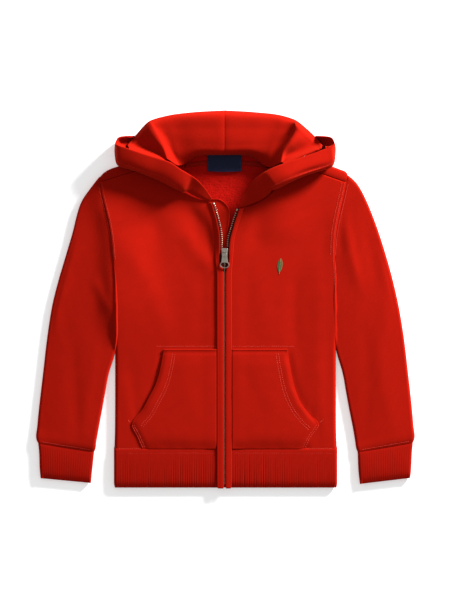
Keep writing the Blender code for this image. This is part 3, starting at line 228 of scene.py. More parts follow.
# Hood, zip top round the corner of the hood: face edge xyz | lowest or outermost fold xyz | root xyz
HOOD_OUTER = per_side([
    (-19.5, 143, 11.2, -20.8, 140.2, 10.2, -21.6, 138.4, 8.9),
    (-25, 152, 14, -29.3, 144.8, 12, -31.5, 141.2, 8.9),
    (-31, 160, 17.5, -37.6, 149.6, 13.6, -40.5, 144.6, 8.9),
    (-40, 169, 23.5, -48.4, 155, 16, -50.4, 150, 8.9), (-51, 177, 28, -59.5, 152.2, 17, -58.5, 156, 8.4),
    (-63, 184, 31, -74, 157.6, 17.6, -67, 163, 8.2), (-76, 193, 32.6, -88, 165, 18, -74, 172, 8.2),
    (-95, 199.5, 32.6, -104, 172.2, 18.4, -88, 179, 8.2), (-113, 205, 33.8, -121, 179, 19, -106, 185, 8.2),
    (-131, 211, 34.2, -137, 184.4, 18.6, -122, 189, 8.2),
    (-146.5, 216.5, 33, -152.6, 189.4, 17.4, -137, 192.4, 8.2),
    (-154.5, 219.5, 31, -156.9, 203, 14, -151.6, 203, 0.9),
    (-155, 223.5, 29.4, -156.7, 219, 13, -152.6, 216, 0.9),
    (-151, 227.6, 27, -152.4, 229.2, 12.5, -149.4, 225.4, 0.9),
    (-143, 229.8, 26, -143.4, 231.8, 12, -141.6, 228.8, 0.9),
    (-135, 230.6, 24, -135, 232.2, 12, -134.4, 229.6, 0.9),
    (-128, 231, 16, -127.6, 232, 10, -127, 229.6, 0.9),
], [
    (20.2, 133.6, 11.2, 21.2, 131.4, 10.2, 22.2, 129.8, 8.9), (24.5, 145, 14, 28.6, 137, 12, 31, 132.6, 8.9),
    (31, 158, 17.5, 37.6, 144, 13.6, 41, 136.8, 8.9), (38, 167, 24, 48, 149, 17, 52, 141.6, 8.9),
    (48, 175, 28.5, 60.5, 152.6, 18.5, 63, 149.8, 8.6), (60, 183, 31.2, 75, 157, 19.5, 70, 163, 8.2),
    (72, 188.5, 32, 89, 163.8, 19, 78, 172, 8.2), (90, 195, 31.2, 105, 171.4, 18, 92, 179, 8.2),
    (110, 202, 29.6, 121, 177.6, 17, 107, 184, 8.2), (129, 208.7, 28, 138, 182.6, 16, 123, 188, 8.2),
    (145.5, 215, 26.4, 152.4, 188.6, 15, 137, 192, 8.2), (153, 219, 25.6, 156.4, 203, 13.6, 151.2, 203, 0.9),
    (154, 223, 25.2, 156.2, 219, 13, 152.2, 216, 0.9), (150, 227.2, 25, 151.6, 228.6, 12.5, 148.6, 225, 0.9),
    (142.5, 229.6, 24.6, 143, 231.4, 12, 141.4, 228.4, 0.9),
    (135.5, 230.4, 23, 135.6, 232, 12, 135, 229.4, 0.9), (128, 231, 16, 127.6, 232, 10, 127, 229.6, 0.9),
])

# Foot of the inner side of the hood's corner, one place for each row from the one before the corner on
EAR_FOOT = np.array([
    (142, 215.4, 27), (139, 219.6, 14), (137, 222, 12), (135, 224.4, 11), (132, 226.8, 10.5),
    (129, 228.4, 10), (126, 229.4, 9.6),
])
EAR_ROW = 11
EAR_STEPS = 6  # columns of that inner side
BAND_TOP = 22  # columns from the face edge to the fold
SEWN_ROWS = 5
FACE_SEAM = -0.1

# Inside of the hood, neck seam to the rolled top: face edge | valley | ridge | foot of the ridge | two places
# on the dome | middle seam, each xyz
LINING = per_side([
    (-86, 197.2, 28.9, -84.4, 198, 27.6, -77, 195.5, 26.8, -71.5, 191.8, 22, -61, 190.5, 12, -39, 202.6, 3.2,
     -0.9, 204.8, 3.2),
    (-97, 201.5, 29.8, -94.4, 206.4, 23.2, -85.5, 214.5, 28.6, -81, 213.6, 24.4, -66, 205, 20,
     -38, 208.4, 20.6, -0.9, 208, 21.4),
    (-114, 206.6, 30.6, -110.6, 212.8, 21.6, -92.5, 227, 29.6, -87, 226.8, 25.6, -70, 222, 22.6, -40, 221, 24,
     -0.9, 220, 25),
    (-129, 211.7, 31, -125, 218.6, 20.4, -101, 240.5, 29, -95.8, 240.5, 26.2, -75, 240, 24, -42, 240, 25,
     -0.9, 240, 26),
    (-136, 214.2, 30.4, -130.6, 222, 19.8, -106, 248.5, 27, -102, 250.5, 25.4, -80, 256, 23.4, -44, 260, 24,
     -0.9, 261.8, 24.6),
    (-138.6, 218.6, 23, -132.4, 226.4, 14.5, -108.2, 252.4, 20, -104.2, 254.4, 18.6, -82, 260.6, 17.5,
     -46, 265.4, 16, -0.9, 268, 15.6),
    (-137, 218, 17, -130.8, 225, 10.5, -106.8, 250, 13.5, -102.8, 252, 12.4, -80.8, 258, 11, -45, 262.6, 10,
     -0.9, 265, 9.6),
], [
    (82, 192.9, 29, 80.4, 193.6, 27.4, 73, 190.8, 26.6, 67.5, 188.2, 21, 57, 189, 12, 36, 202.6, 3.2,
     -1.1, 204.8, 3.2),
    (91.5, 196.8, 29.8, 88.8, 202, 23.6, 79.6, 209.6, 29, 76.8, 209.4, 23.4, 61, 206, 20, 34, 208.8, 20.6,
     -1.1, 208, 21.4),
    (109, 202.9, 30.7, 105.6, 209.2, 21.4, 89.5, 223, 30.6, 86.8, 223.2, 25, 66, 222, 22.6, 37, 221, 24,
     -1.1, 220, 25),
    (126, 209, 31.1, 122, 216.2, 20, 98.5, 237.5, 30, 95.6, 238, 26.4, 74, 240, 23.8, 40, 240, 24.8,
     -1.1, 240, 26),
    (134, 212, 30.8, 129.6, 220.4, 18.2, 99.5, 249, 28.4, 96.4, 250.6, 25.4, 77, 256.5, 23.2, 42, 260, 24,
     -1.1, 261.8, 24.6),
    (137.6, 218, 23, 131.6, 226.4, 14.5, 101, 253.4, 20.5, 98, 255, 19, 79, 261, 17.5, 43, 265.4, 16,
     -1.1, 268, 15.6),
    (136, 217.4, 17, 130.2, 225, 10.5, 99.6, 251, 14, 96.6, 252.6, 12.8, 78, 258.4, 11, 42.4, 262.6, 10,
     -1.1, 265, 9.6),
])
LINING_PLACES = 7
LINING_STEPS = 8

# Hidden layers of the hood, end to end: back edge x y | front edge x y
HEAP_OUTLINE = np.array([
    (-149.5, 218, -149.5, 216), (-145.5, 222.5, -149, 206), (-136, 226, -146, 199.5),
    (-127, 231.6, -124, 200.8), (-118, 240.4, -97, 209.6), (-106, 250.2, -70, 218.8),
    (-84, 258.4, -61, 214.4), (-56, 262.4, -50, 208.6), (-28, 265, -26, 207.4), (-1, 266, -1, 207.2),
    (28, 265, 26, 207.4), (56, 262.4, 52, 208.6), (80, 258.8, 66, 214.4), (101, 251, 76, 218.4),
    (117, 240.4, 101, 209.4), (127, 231.6, 126, 200.6), (136, 226, 145.5, 199.5), (145, 222.5, 148.5, 206),
    (149, 218, 149, 216),
])
HEAP_LAYERS = 3
HEAP_HEIGHT = 7.6
HEAP_ROLL = 0.9
HEAP_CROWN = 4.2

TAPE_ARC = np.array([(-57, 193.2), (-30, 196.4), (-1, 197.2), (30, 196.2), (62, 192.6)])
NECK_TAPE_DEPTH = 6
LABEL_X = -1
LABEL_WIDTH = 48
LABEL_TOP_Y = 205
LABEL_DEPTH = 23
LABEL_BASE = 3.65

# Soft folds: x y at one end | x y at the other | height | half width to the left of that run | to its right
FRONT_FOLDS = per_side([
    (-60, 98, -20, 47, 1, 11, 13), (-56, 130, -12, 64, -2.9, 11, 20), (-170, 112, -84, 92, -1.3, 23, 25),
    (-150, 80, -80, -48, 1, 15, 17), (-148, 4, -110, -84, -0.3, 14, 14), (-112, 128, -86, 40, -0.8, 14, 16),
    (-44, 30, -60, -48, 0.35, 12, 16), (-146, -60, -140, -186, 0.35, 8, 10),
    (-128, -90, -126, -160, -0.3, 8, 9), (-60, -110, -30, -180, 0.2, 12, 12),
], [
    (126, 60, 118, -140, 1, 13, 14), (104, 40, 102, -76, -0.8, 10, 11), (142, -70, 138, -196, 0.5, 8, 8),
    (82, 156, 74, 84, 1.5, 26, 22), (26, 128, 96, 156, -1.9, 12, 13), (54, 128, 44, 70, -0.8, 12, 12),
    (148, 110, 139, 60, -0.4, 8, 8), (40, 40, 66, -50, 0.35, 14, 12), (30, -100, 56, -176, -0.25, 12, 12),
])
SLEEVE_FOLDS = per_side([
    (-217, 84, -236, -44, 0.9, 13, 13), (-186, 26, -162, -18, 0.9, 7, 8),
    (-209, -58, -215, -196, -0.6, 10, 11), (-193, -70, -197, -200, 0.4, 9, 9),
    (-228, 0, -226, -60, -0.3, 9, 10),
], [
    (174, 120, 187, 16, 1.1, 8, 10), (166, 130, 167, 70, -0.5, 6, 6), (206, 96, 214, 10, -0.5, 9, 9),
    (222, 60, 236, -60, 0.6, 12, 13), (190, -40, 208, -190, -0.4, 10, 10), (224, -46, 234, -186, 0.5, 13, 11),
])

# Soft swell along each armhole: height on the body | half width there | height on the sleeve | half width
# there | y where it ends below
ARMHOLE_RIDGE = {RIGHT: (8, 54, 5.9, 16, -50), LEFT: (1.6, 18, 0.1, 8, -70)}

# Control heights of the hood's section, as shares of its drop: near the face edge above it | near the fold
# above it
BAND_SHAPE = {RIGHT: (-0.12, 0.74), LEFT: (0.16, 1.5)}

# Creases of the hood's outer side: row | how far it runs along the rows towards the fold | half width in
# rows | share down from the face edge | half width in shares | height
HOOD_CREASES = per_side([
    (3.2, 0.8, 1.2, 0.55, 0.3, -0.35), (8.6, -0.8, 1.4, 0.6, 0.3, 0.4), (5.8, 0.4, 1, 0.75, 0.25, -0.35),
], [
    (7.6, 0.6, 1.6, 0.56, 0.1, -1.7), (7.4, 0.6, 1.8, 0.74, 0.12, 1.2), (5, 0.2, 0.9, 0.6, 0.35, -0.5),
    (6, 0, 0.8, 0.6, 0.3, 0.4), (3, 0.4, 1.1, 0.6, 0.3, -0.35),
])

LEAF_FOOT = (76.5, 38)
LEAF_LENGTH = 20
LEAF_HALF_WIDTH = 3.8

RIB_PITCH = 3.3
CUFF_RIB = 0.17
WAIST_RIB = 0.42

# Cut of what shows of each sheet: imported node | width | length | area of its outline, where it isn't straight
CUT = {
    "back_cloth": ("back_panel", 352, 432, 138000), "front_cloth": ("front", 178, 418, 62000),
    "pocket_cloth": ("pocket", 122, 142, 13400), "sleeve_cloth": ("sleeve", 250, 370, 68000),
    "cuff_rib": ("cuff", 160, 50, 7700), "waist_rib": ("waistband", 640, 55, 35000),
    "zip_flap_cloth": ("zip_flap", 11.5, 408, None), "zip_tape_cloth": ("zip_tape", 11, 405, 4400),
    "zip_guard_cloth": ("zip_guard", 26, 405, 6600), "hood_cloth": ("hood_outer", 240, 60, 9500),
    "hood_lining_cloth": ("hood_lining", 160, 90, 12000), "hood_layers": ("hood_folds", 300, 60, 15000),
    "neck_tape_cloth": ("neck_tape", 120, 10, 800), "label_cloth": ("neck_label", 48, 24, 1150),
}


# ---- Curves and grids ------------------------------------------------------------------------------------


def run_length(rows):
    """Length of a path from its start to each of its rows."""
    return np.append(0, np.cumsum(np.linalg.norm(np.diff(rows, axis=0), axis=1)))


def smooth(rows, steps):
    """Curve through every row of a table, with some steps between each two rows.

    Each span is the cubic Hermite curve (2f^3-3f^2+1)a + (f^3-2f^2+f)m0 + (3f^2-2f^3)b + (f^3-f^2)m1 on knots
    spaced by the distance between the rows, where m is the slope through a row's two neighbours.
    """
    knots = run_length(rows)
    tangents = np.gradient(rows, knots, axis=0)
    f = (np.arange(steps) / steps)[None, :, None]
    a, b = rows[:-1, None], rows[1:, None]
    span = np.diff(knots)[:, None, None]
    m0, m1 = tangents[:-1, None] * span, tangents[1:, None] * span
    curve = ((2 * f**3 - 3 * f**2 + 1) * a + (f**3 - 2 * f**2 + f) * m0
             + (3 * f**2 - 2 * f**3) * b + (f**3 - f**2) * m1)
    return np.vstack([curve.reshape(-1, rows.shape[1]), rows[-1]])


def smooth_net(net, row_steps, column_steps):
    """Smooth surface through a (rows, columns, 3) net: the curve above along the columns, then the rows."""
    along = smooth(net.reshape(len(net), -1), row_steps).reshape(-1, net.shape[1], 3)
    across = smooth(along.transpose(1, 0, 2).reshape(net.shape[1], -1), column_steps)
    return across.reshape(len(across), -1, 3).transpose(1, 0, 2)


def soft_step(x, low, high):
    """3f^2 - 2f^3 of the share f of the way from low to high."""
    f = np.clip((x - low) / (high - low), 0, 1)
    return f * f * (3 - 2 * f)


def fade(x, low, high):
    """1 at low, falling softly to 0 at high."""
    return 1 - soft_step(x, low, high)


def bell(x, half_width):
    """exp(-(x / half width)^2)"""
    return np.exp(-((x / half_width) ** 2))


def unit(v):
    """Rows of an array scaled to length one."""
    return v / np.maximum(np.linalg.norm(v, axis=-1, keepdims=True), 1e-12)


def places(x, y, z):
    """Points from their x, y and z, each a number or an array, spread over each other's rows and columns."""
    return np.stack(np.broadcast_arrays(x, y, z), axis=-1).astype(float)


def raised(plan, z):
    """Points of a plan at a height."""
    return places(plan[..., 0], plan[..., 1], z)


def body_edge(y, side):
    """x of the body's outline at height y."""
    return np.interp(y, BODY_SIDE[:, 0], BODY_SIDE[:, 1 if side == RIGHT else 2])


def at_place(grid, r, c):
    """Points of a grid at fractional row r and column c: the bilinear mean of the four around each."""
    r, c = np.broadcast_arrays(np.clip(r, 0, grid.shape[0] - 1.001), np.clip(c, 0, grid.shape[1] - 1.001))
    i, j = r.astype(int), c.astype(int)
    f, g = (r - i)[:, None], (c - j)[:, None]
    top = grid[i, j] * (1 - g) + grid[i, j + 1] * g
    low = grid[i + 1, j] * (1 - g) + grid[i + 1, j + 1] * g
    return top * (1 - f) + low * f


# ---- Meshes ----------------------------------------------------------------------------------------------


def link(name, mesh, *finishes):
    """Object at the origin with a mesh and its finishes, shaded smooth."""
    for finish in finishes:
        mesh.materials.append(finish)
    mesh.polygons.foreach_set("use_smooth", np.ones(len(mesh.polygons), bool))
    made = bpy.data.objects.new(name, mesh)
    bpy.context.scene.collection.objects.link(made)
    return made


def joined(grid):
    """Grid with its first column again after its last."""
    return np.concatenate([grid, grid[:, :1]], axis=1)


def quads(of):
    """What a grid holds at the four corners of each of its quads."""
    return np.stack([of[:-1, :-1], of[:-1, 1:], of[1:, 1:], of[1:, :-1]], axis=2).reshape(-1, 4)


def grid_mesh(name, grid, closed=False, keep=None, caps=False):
    """Quads over a (rows, columns, 3) grid, with a UV map of the cloth's own length and width.

    u is the length along each row and v the length along each column, both in metres. closed joins the last
    column to the first. keep picks the quads that are made.
    """
    rows, columns = grid.shape[:2]
    number = np.arange(rows * columns).reshape(rows, columns)
    wide, number = (joined(grid), joined(number)) if closed else (grid, number)
    u, v = np.zeros((2, *number.shape))
    u[:, 1:] = np.cumsum(np.linalg.norm(np.diff(wide, axis=1), axis=2), axis=1)
    v[1:] = np.cumsum(np.linalg.norm(np.diff(wide, axis=0), axis=2), axis=0)
    faces, us, vs = quads(number), quads(u), quads(v)
    if keep is not None:
        faces, us, vs = (part[keep.ravel()] for part in (faces, us, vs))
    polygons = faces.tolist()
    if caps:
        polygons += [number[0, :columns][::-1].tolist(), number[-1, :columns].tolist()]
    points = grid.reshape(-1, 3) * MM
    used, again = np.unique(faces, return_inverse=True)
    if len(used) < len(points):
        points = points[used]
        polygons = again.reshape(-1, 4).tolist()
    mesh = bpy.data.meshes.new(name)
    mesh.from_pydata(points.tolist(), [], polygons)
    flat = np.zeros((len(mesh.loops), 2))
    flat[:us.size] = np.column_stack([us.ravel(), vs.ravel()]) * MM
    mesh.uv_layers.new(name="cloth").data.foreach_set("uv", flat.ravel())
    return mesh


def faces_well(grid, looks, closed=False):
    """Whether a grid's faces look the way that is wanted.

    looks is "up" or "down" for a sheet, by the sum of its quads' area vectors in z. For "out" the sum of each
    quad's distance from the middle times its area vector is positive.
    """
    wide = joined(grid) if closed else grid
    area = np.cross(wide[1:, 1:] - wide[:-1, :-1], wide[1:, :-1] - wide[:-1, 1:])
    if looks == "out":
        middle = (wide[1:, 1:] + wide[:-1, :-1]) / 2 - grid.mean(axis=(0, 1))
        return (area * middle).sum() > 0
    return (area[..., 2].sum() > 0) == (looks == "up")


def with_held_edges(grid, keep, closed, reach=0.5):
    """Grid with one more row, and column, a short reach inside each edge, to keep rounding close to it."""
    for axis in (0,) if closed else (0, 1):
        lines = np.moveaxis(grid, axis, 0)
        near = []
        for edge, before in ((lines[0], lines[1]), (lines[-1], lines[-2])):
            way = before - edge
            length = np.linalg.norm(way, axis=-1, keepdims=True)
            near.append((edge + way * np.minimum(0.5, reach / np.maximum(length, 1e-6)))[None])
        lines = np.concatenate([lines[:1], near[0], lines[1:-1], near[1], lines[-1:]])
        grid = np.moveaxis(lines, 0, axis)
        if keep is not None:
            kept = np.moveaxis(keep, axis, 0)
            keep = np.moveaxis(np.concatenate([kept[:1], kept, kept[-1:]]), 0, axis)
    return grid, keep


def sided(name, side):
    """Name with its side after it, if it has one."""
    return f"{name}_{SIDES[side]}" if side else name


def declare(piece, kind, side):
    """Attach a sheet to the garment's body and hide the imported node that it stands for."""
    packed, width, length, area = CUT[kind]
    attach(piece, "garment")
    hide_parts(sided(packed, side))


def cloth(kind, grid, side=None, finishes=None, slot="fleece", thickness=WALL, looks="up", held="laid", on=(),
          keep=None, rounded=True, closed=False):
    """A cut piece of cloth: its surface, its wall on the inner side, and edges rounded by subdivision.

    finishes are the outer face's and, where it differs, the inner face's.
    """
    finishes = finishes or (JERSEY, INSIDE)
    if not faces_well(grid, looks, closed):
        grid = grid[:, ::-1]
        keep = None if keep is None else keep[:, ::-1]
    if rounded:
        grid, keep = with_held_edges(grid, keep, closed)
    name = sided(kind, side)
    piece = link(name, grid_mesh(name, grid, closed, keep), *finishes)
    wall = piece.modifiers.new("wall", "SOLIDIFY")
    wall.thickness = thickness * MM
    wall.offset = -1
    wall.use_even_offset = False
    wall.material_offset = len(finishes) - 1
    if rounded:
        softer = piece.modifiers.new("soft_edges", "SUBSURF")
        softer.levels = softer.render_levels = 1
    declare(piece, kind, side)


def closed_roll(kind, rings, side=None):
    """A folded piece as one closed roll: rings with both ends closed."""
    rings = rings if faces_well(rings, "out", True) else rings[:, ::-1]
    name = sided(kind, side)
    piece = link(name, grid_mesh(name, rings, closed=True, caps=True), JERSEY)
    declare(piece, kind, side)


# ---- Finishes --------------------------------------------------------------------------------------------


def node(tree, kind, links=(), **values):
    """New node. links are (socket, output or value); values are its own settings."""
    made = tree.nodes.new(kind)
    for key, value in values.items():
        setattr(made, key, value)
    for socket, source in links:
        if isinstance(source, bpy.types.NodeSocket):
            tree.links.new(source, made.inputs[socket])
        else:
            made.inputs[socket].default_value = source
    return made


def new_finish(name, colour, roughness, metallic=0, sheen=0, sheen_tint=(1, 1, 1), gloss=0.5, on_cloth=True):
    """Principled material, its shader with the even values set on the sockets themselves, and the place that
    its pattern reads: the cloth's own length and width, or the object's coordinates."""
    made = bpy.data.materials.new(name)
    made.use_nodes = True
    made.diffuse_color = (*colour, 1)
    tree = made.node_tree
    shader = tree.nodes["Principled BSDF"]
    for socket, value in (
        ("Base Color", (*colour, 1)), ("Roughness", roughness), ("Metallic", metallic),
        ("Specular IOR Level", gloss), ("Sheen Weight", sheen), ("Sheen Roughness", 0.45),
        ("Sheen Tint", (*sheen_tint, 1)),
    ):
        shader.inputs[socket].default_value = value
    if on_cloth:
        return made, shader, node(tree, "ShaderNodeUVMap", uv_map="cloth").outputs["UV"]
    return made, shader, node(tree, "ShaderNodeTexCoord").outputs["Object"]


def maths(operation, a, b=None):
    """Output of a Math node in the tree of the output a."""
    links = [(0, a)] if b is None else [(0, a), (1, b)]
    return node(a.id_data, "ShaderNodeMath", links, operation=operation).outputs[0]


def add(a, b):
    """a + b"""
    return maths("ADD", a, b)


def times(a, b):
    """a * b"""
    return maths("MULTIPLY", a, b)


def blended(a, b, share):
    """a * (1 - share) + b * share"""
    return add(times(a, 1 - share), times(b, share))


def humps(a, pitch):
    """|sin(pi a / pitch)| with the pitch in millimetres."""
    return maths("ABSOLUTE", maths("SINE", times(a, math.pi / (pitch * MM))))


def noise(place, scale, detail=2, roughness=0.5):
    """Output of a Noise texture at a place."""
    links = [("Vector", place), ("Scale", scale), ("Detail", detail), ("Roughness", roughness)]
    return node(place.id_data, "ShaderNodeTexNoise", links).outputs["Fac"]


def axes_of(place):
    """x and y of a place."""
    return node(place.id_data, "ShaderNodeSeparateXYZ", [("Vector", place)]).outputs[:2]


def colour_by(shader, factor, dark, light):
    """Base colour between two tones by a factor."""
    ramp = node(shader.id_data, "ShaderNodeValToRGB", [("Fac", factor)])
    ramp.color_ramp.elements[0].color = (*dark, 1)
    ramp.color_ramp.elements[1].color = (*light, 1)
    shader.id_data.links.new(ramp.outputs["Color"], shader.inputs["Base Color"])


def shades(colour, low, high):
    """A colour times each of two shares."""
    return [tuple(c * share for c in colour) for share in (low, high)]


def raise_by(shader, height, distance):
    """Bump from a height, a distance in metres high."""
    links = [("Height", height), ("Distance", distance), ("Strength", 1)]
    bump = node(shader.id_data, "ShaderNodeBump", links)
    shader.id_data.links.new(bump.outputs["Normal"], shader.inputs["Normal"])


SHEEN_RED = (1, 0.3, 0.1)


def knit(name, colour, wale=1.1, course=0.9, depth=0.00012, mottle=0.1):
    """Knitted cloth.

    Height: humps across the wales times a bow along the courses, mixed half and half with fuzz from fine
    noise. Colour: the base made lighter and darker by broad and fine noise, and darker between the wales,
    which is painted shade in the hollows between them.
    """
    made, shader, place = new_finish(name, colour, 0.92, sheen=0.07, sheen_tint=SHEEN_RED, gloss=0.03)
    u, v = axes_of(place)
    column = humps(u, wale)
    slant = add(times(v, math.pi / (course * MM)), times(column, 0.35 * TAU))
    loop = maths("ABSOLUTE", maths("SINE", slant))
    stitch = times(column, add(times(loop, 0.45), 0.55))
    fine, broad = noise(place, 900, 3, 0.6), noise(place, 55, 3, 0.55)
    raise_by(shader, blended(stitch, fine, 0.5), depth)
    # painted shade: a share of the stitch pattern makes the colour darker in the hollows between the wales
    tones = blended(blended(fine, broad, 0.5), stitch, 0.2)
    colour_by(shader, tones, *shades(colour, 1 - 2.2 * mottle, 1 + 2.2 * mottle))
    return made


def brushed(name, colour):
    """Brushed inner face: tufts from two sizes of noise in the height; lower places painted darker as shade."""
    made, shader, place = new_finish(name, colour, 0.95, sheen=0.12, sheen_tint=SHEEN_RED, gloss=0.03)
    height = add(noise(place, 330, 5, 0.7), times(noise(place, 90, 3, 0.6), 1.4))
    raise_by(shader, height, 0.0009)
    # painted shade and light: the colour follows the tufts' height, darker on the lower places, lighter on the
    # higher
    colour_by(shader, times(height, 0.42), *shades(colour, 0.62, 1.35))
    return made


def woven(name, colour, light, pitch, herringbone=0, roughness=0.75, sheen=0, gloss=0.15):
    """Woven trim: two sets of threads at right angles, or slanted ones that turn at every band."""
    made, shader, place = new_finish(name, colour, roughness, sheen=sheen, sheen_tint=light, gloss=gloss)
    u, v = axes_of(place)
    if herringbone:
        lines = add(u, maths("PINGPONG", v, herringbone * MM))
        threads = add(times(maths("SINE", times(lines, TAU / (pitch * MM))), 0.5), 0.5)
    else:
        threads = times(add(humps(u, pitch), humps(v, pitch)), 0.5)
    raise_by(shader, threads, 0.0001)
    # painted shade and light: the colour is darker in the gaps between the threads and lighter on their crests
    colour_by(shader, blended(threads, noise(place, 700), 0.3), colour, light)
    return made


def thread(name, colour):
    """Sewing thread: two plies that twist, seen as fine slanted lines."""
    made, shader, place = new_finish(name, colour, 0.55, gloss=0.15, on_cloth=False)
    ply = maths("SINE", times(add(*axes_of(place)), TAU / (0.6 * MM)))
    # painted shade: the colour darkens in the grooves between the plies, over a fine random tone
    colour_by(shader, add(times(ply, 0.25), noise(place, 1500)), *shades(colour, 0.7, 1.15))
    raise_by(shader, ply, 0.00006)
    return made


def worn_metal(name, dark, light, roughness):
    """Cast and tumbled metal: darker hollows, rubbed high places, a fine grain in the gloss."""
    made, shader, place = new_finish(name, light, roughness, metallic=1, on_cloth=False)
    spots = noise(place, 900, 4, 0.6)
    colour_by(shader, blended(spots, noise(place, 180), 0.4), dark, light)
    gloss = add(times(spots, 0.25), roughness - 0.12)
    shader.id_data.links.new(gloss, shader.inputs["Roughness"])
    raise_by(shader, spots, 0.00008)
    return made


def plain_table(name):
    """Pale matt table top, lit a little from within, with a barely visible grain."""
    made, shader, place = new_finish(name, (0.93,) * 3, 0.9, gloss=0.1, on_cloth=False)
    colour_by(shader, noise(place, 40), (0.925,) * 3, (0.935,) * 3)
    shader.inputs["Emission Color"].default_value = (1, 1, 1, 1)
    shader.inputs["Emission Strength"].default_value = TABLE_GLOW
    return made


JERSEY = knit("red_jersey_face", (0.296, 0.0048, 0.00125))
INSIDE = brushed("red_brushed_inside", (0.38, 0.0042, 0.0024))
RIBBING = knit("red_rib_knit", (0.256, 0.0039, 0.0011), wale=1.65, course=1, depth=0.00016, mottle=0.09)
# Red zip tape with its colour made much darker: painted shade from the flaps that lie over it.
ZIP_TAPE = woven("red_zip_tape_painted_shade", (0.03, 0.005, 0.004), (0.085, 0.009, 0.007), 0.9, gloss=0.05)
NECK_TAPE = woven("red_herringbone_tape", (0.2, 0.0036, 0.0016), (0.31, 0.0075, 0.003), 1.2, 3, gloss=0.03)
LABEL = woven("navy_satin_label", (0.003, 0.0045, 0.019), (0.009, 0.013, 0.048), 0.45, roughness=0.5,
              sheen=0.1)
THREAD = thread("red_topstitch_thread", (0.5, 0.026, 0.012))
NAVY_THREAD = thread("navy_label_thread", (0.05, 0.07, 0.17))
PEWTER = worn_metal("worn_pewter", (0.16, 0.13, 0.1), (0.62, 0.57, 0.5), 0.36)
BRONZE = worn_metal("dark_bronze_teeth", (0.16, 0.12, 0.08), (0.74, 0.62, 0.46), 0.32)
LEAF_GREEN = thread("leaf_green_thread", (0.04, 0.085, 0.026))
LEAF_TAN = thread("stem_tan_thread", (0.28, 0.17, 0.05))


# ---- Body ------------------------------------------------------------------------------------------------


def fold_lift(x, y, table):
    """Sum of soft folds: for each, height * bell(distance from its line / half width) * soft ends."""
    lift = np.zeros(np.broadcast(x, y).shape)
    for x0, y0, x1, y1, height, left, right in table:
        run = np.array([x1 - x0, y1 - y0])
        length = np.hypot(*run)
        s = ((x - x0) * run[0] + (y - y0) * run[1]) / length**2
        away = ((x - x0) * run[1] - (y - y0) * run[0]) / length + 0.05 * length * np.sin(2.6 * s + x0)
        ends = soft_step(s, -0.2, 0.3) * fade(s, 0.7, 1.2)
        lift = lift + height * ends * bell(away, np.where(away < 0, left, right))
    return lift


def armhole_ridge(x, y, side):
    """Height times bell(distance out from the armhole seam / half width) times a soft lower end.

    On the sleeve it starts lower, so that the body's edge overhangs the seam a little.
    """
    on_body, inner, on_sleeve, outer, end = ARMHOLE_RIDGE[side]
    away = (x - body_edge(y, side)) * side
    on_body = on_body * soft_step(y, end - 64, end + 60) * bell(away, inner)
    on_sleeve = on_sleeve * soft_step(y, end, end + 48) * bell(away, outer)
    return (1 - 0.7 * soft_step(y, 108, 168)) * np.where(away < 0, on_body, on_sleeve)


def front_height(x, y, side):
    """Height of a front's outer face: the flat level, the rise over the zip, the soft folds, puckers above
    the waist seam, and shallow grooves at the seams."""
    zip_edge, pocket = FRONT[side][:ZIP_EDGE_ROWS], POCKET[side]
    from_zip = np.abs(x - np.interp(y, zip_edge[:, 1], zip_edge[:, 0]))
    above = np.clip(y - WAIST_SEAM_Y, 0, None)
    open_zip = soft_step(y, 30, 52)
    clear = soft_step(from_zip, 8 - 5 * open_zip, 24 - 12 * open_zip) * soft_step(above, 4, 30)
    z = FRONT_TOP + ZIP_RISE * fade(from_zip, 14, 32)
    z = z + fold_lift(x, y, FRONT_FOLDS[side]) * clear + armhole_ridge(x, y, side)
    ripple = np.sin(x / 4.3 + 0.9 * np.sin(x / 11)) + 0.6 * np.sin(x / 7.1 + 2)
    z = z + 0.16 * ripple * np.exp(-above / 9) * soft_step(above, 0.5, 4) - 0.2 * bell(above, 1.8)
    z = z - 1.5 * bell(above, 9) * fade(np.abs(x), 112, 122) * soft_step(from_zip, 4, 10)
    from_opening = x - np.interp(y, pocket[:, 0], pocket[:, 1])
    z = z - 1.3 * bell(from_opening, 4) * soft_step(y, -186, -168) * fade(y, -84, -70)
    at_armhole = soft_step(y, UNDERARM_Y - 10, UNDERARM_Y + 8)
    return z - 0.2 * (side == LEFT) * bell(body_edge(y, side) - x, 1.5) * at_armhole


def tucked(points, end, out, down):
    """One more row at an end of a grid, moved on by out in plan and down, to pass under its neighbour at a
    seam."""
    edge, before = (points[-1], points[-2]) if end else (points[0], points[1])
    way = edge - before
    way[..., 2] = 0
    extra = (edge + out * unit(way) - UP * np.asarray(down)[..., None])[None]
    return np.concatenate([points, extra] if end else [extra, points])


def front_grid(side):
    """Rows across a front, zip edge to side. Below the sleeve the side rolls down by a quarter circle."""
    inner_x, inner_y, outer_y = smooth(FRONT[side], ROW_STEPS).T[..., None]
    s = np.linspace(0, 1, 44)
    across = s - 0.1 * np.sin(TAU * s) / TAU
    roll = FRONT_TOP - BACK_TOP - LAP - EDGE_LIFT
    angles = np.linspace(0, math.pi / 2, 9)[1:]
    rolled = fade(outer_y, -74, -44)
    start_x = body_edge(outer_y, side) - side * (roll + 0.5 * SEAM * (1 - rolled))
    x = np.hstack([inner_x + (start_x - inner_x) * across, start_x + side * roll * np.sin(angles)])
    y = np.hstack([inner_y + (outer_y - inner_y) * across, outer_y + 0 * angles])
    z = front_height(x, y, side)
    z[:, len(s):] -= rolled * roll * (1 - np.cos(angles))
    z[-2:] -= [[0.05], [0.2]]
    return tucked(places(x, y, z), True, 1.5, 2)


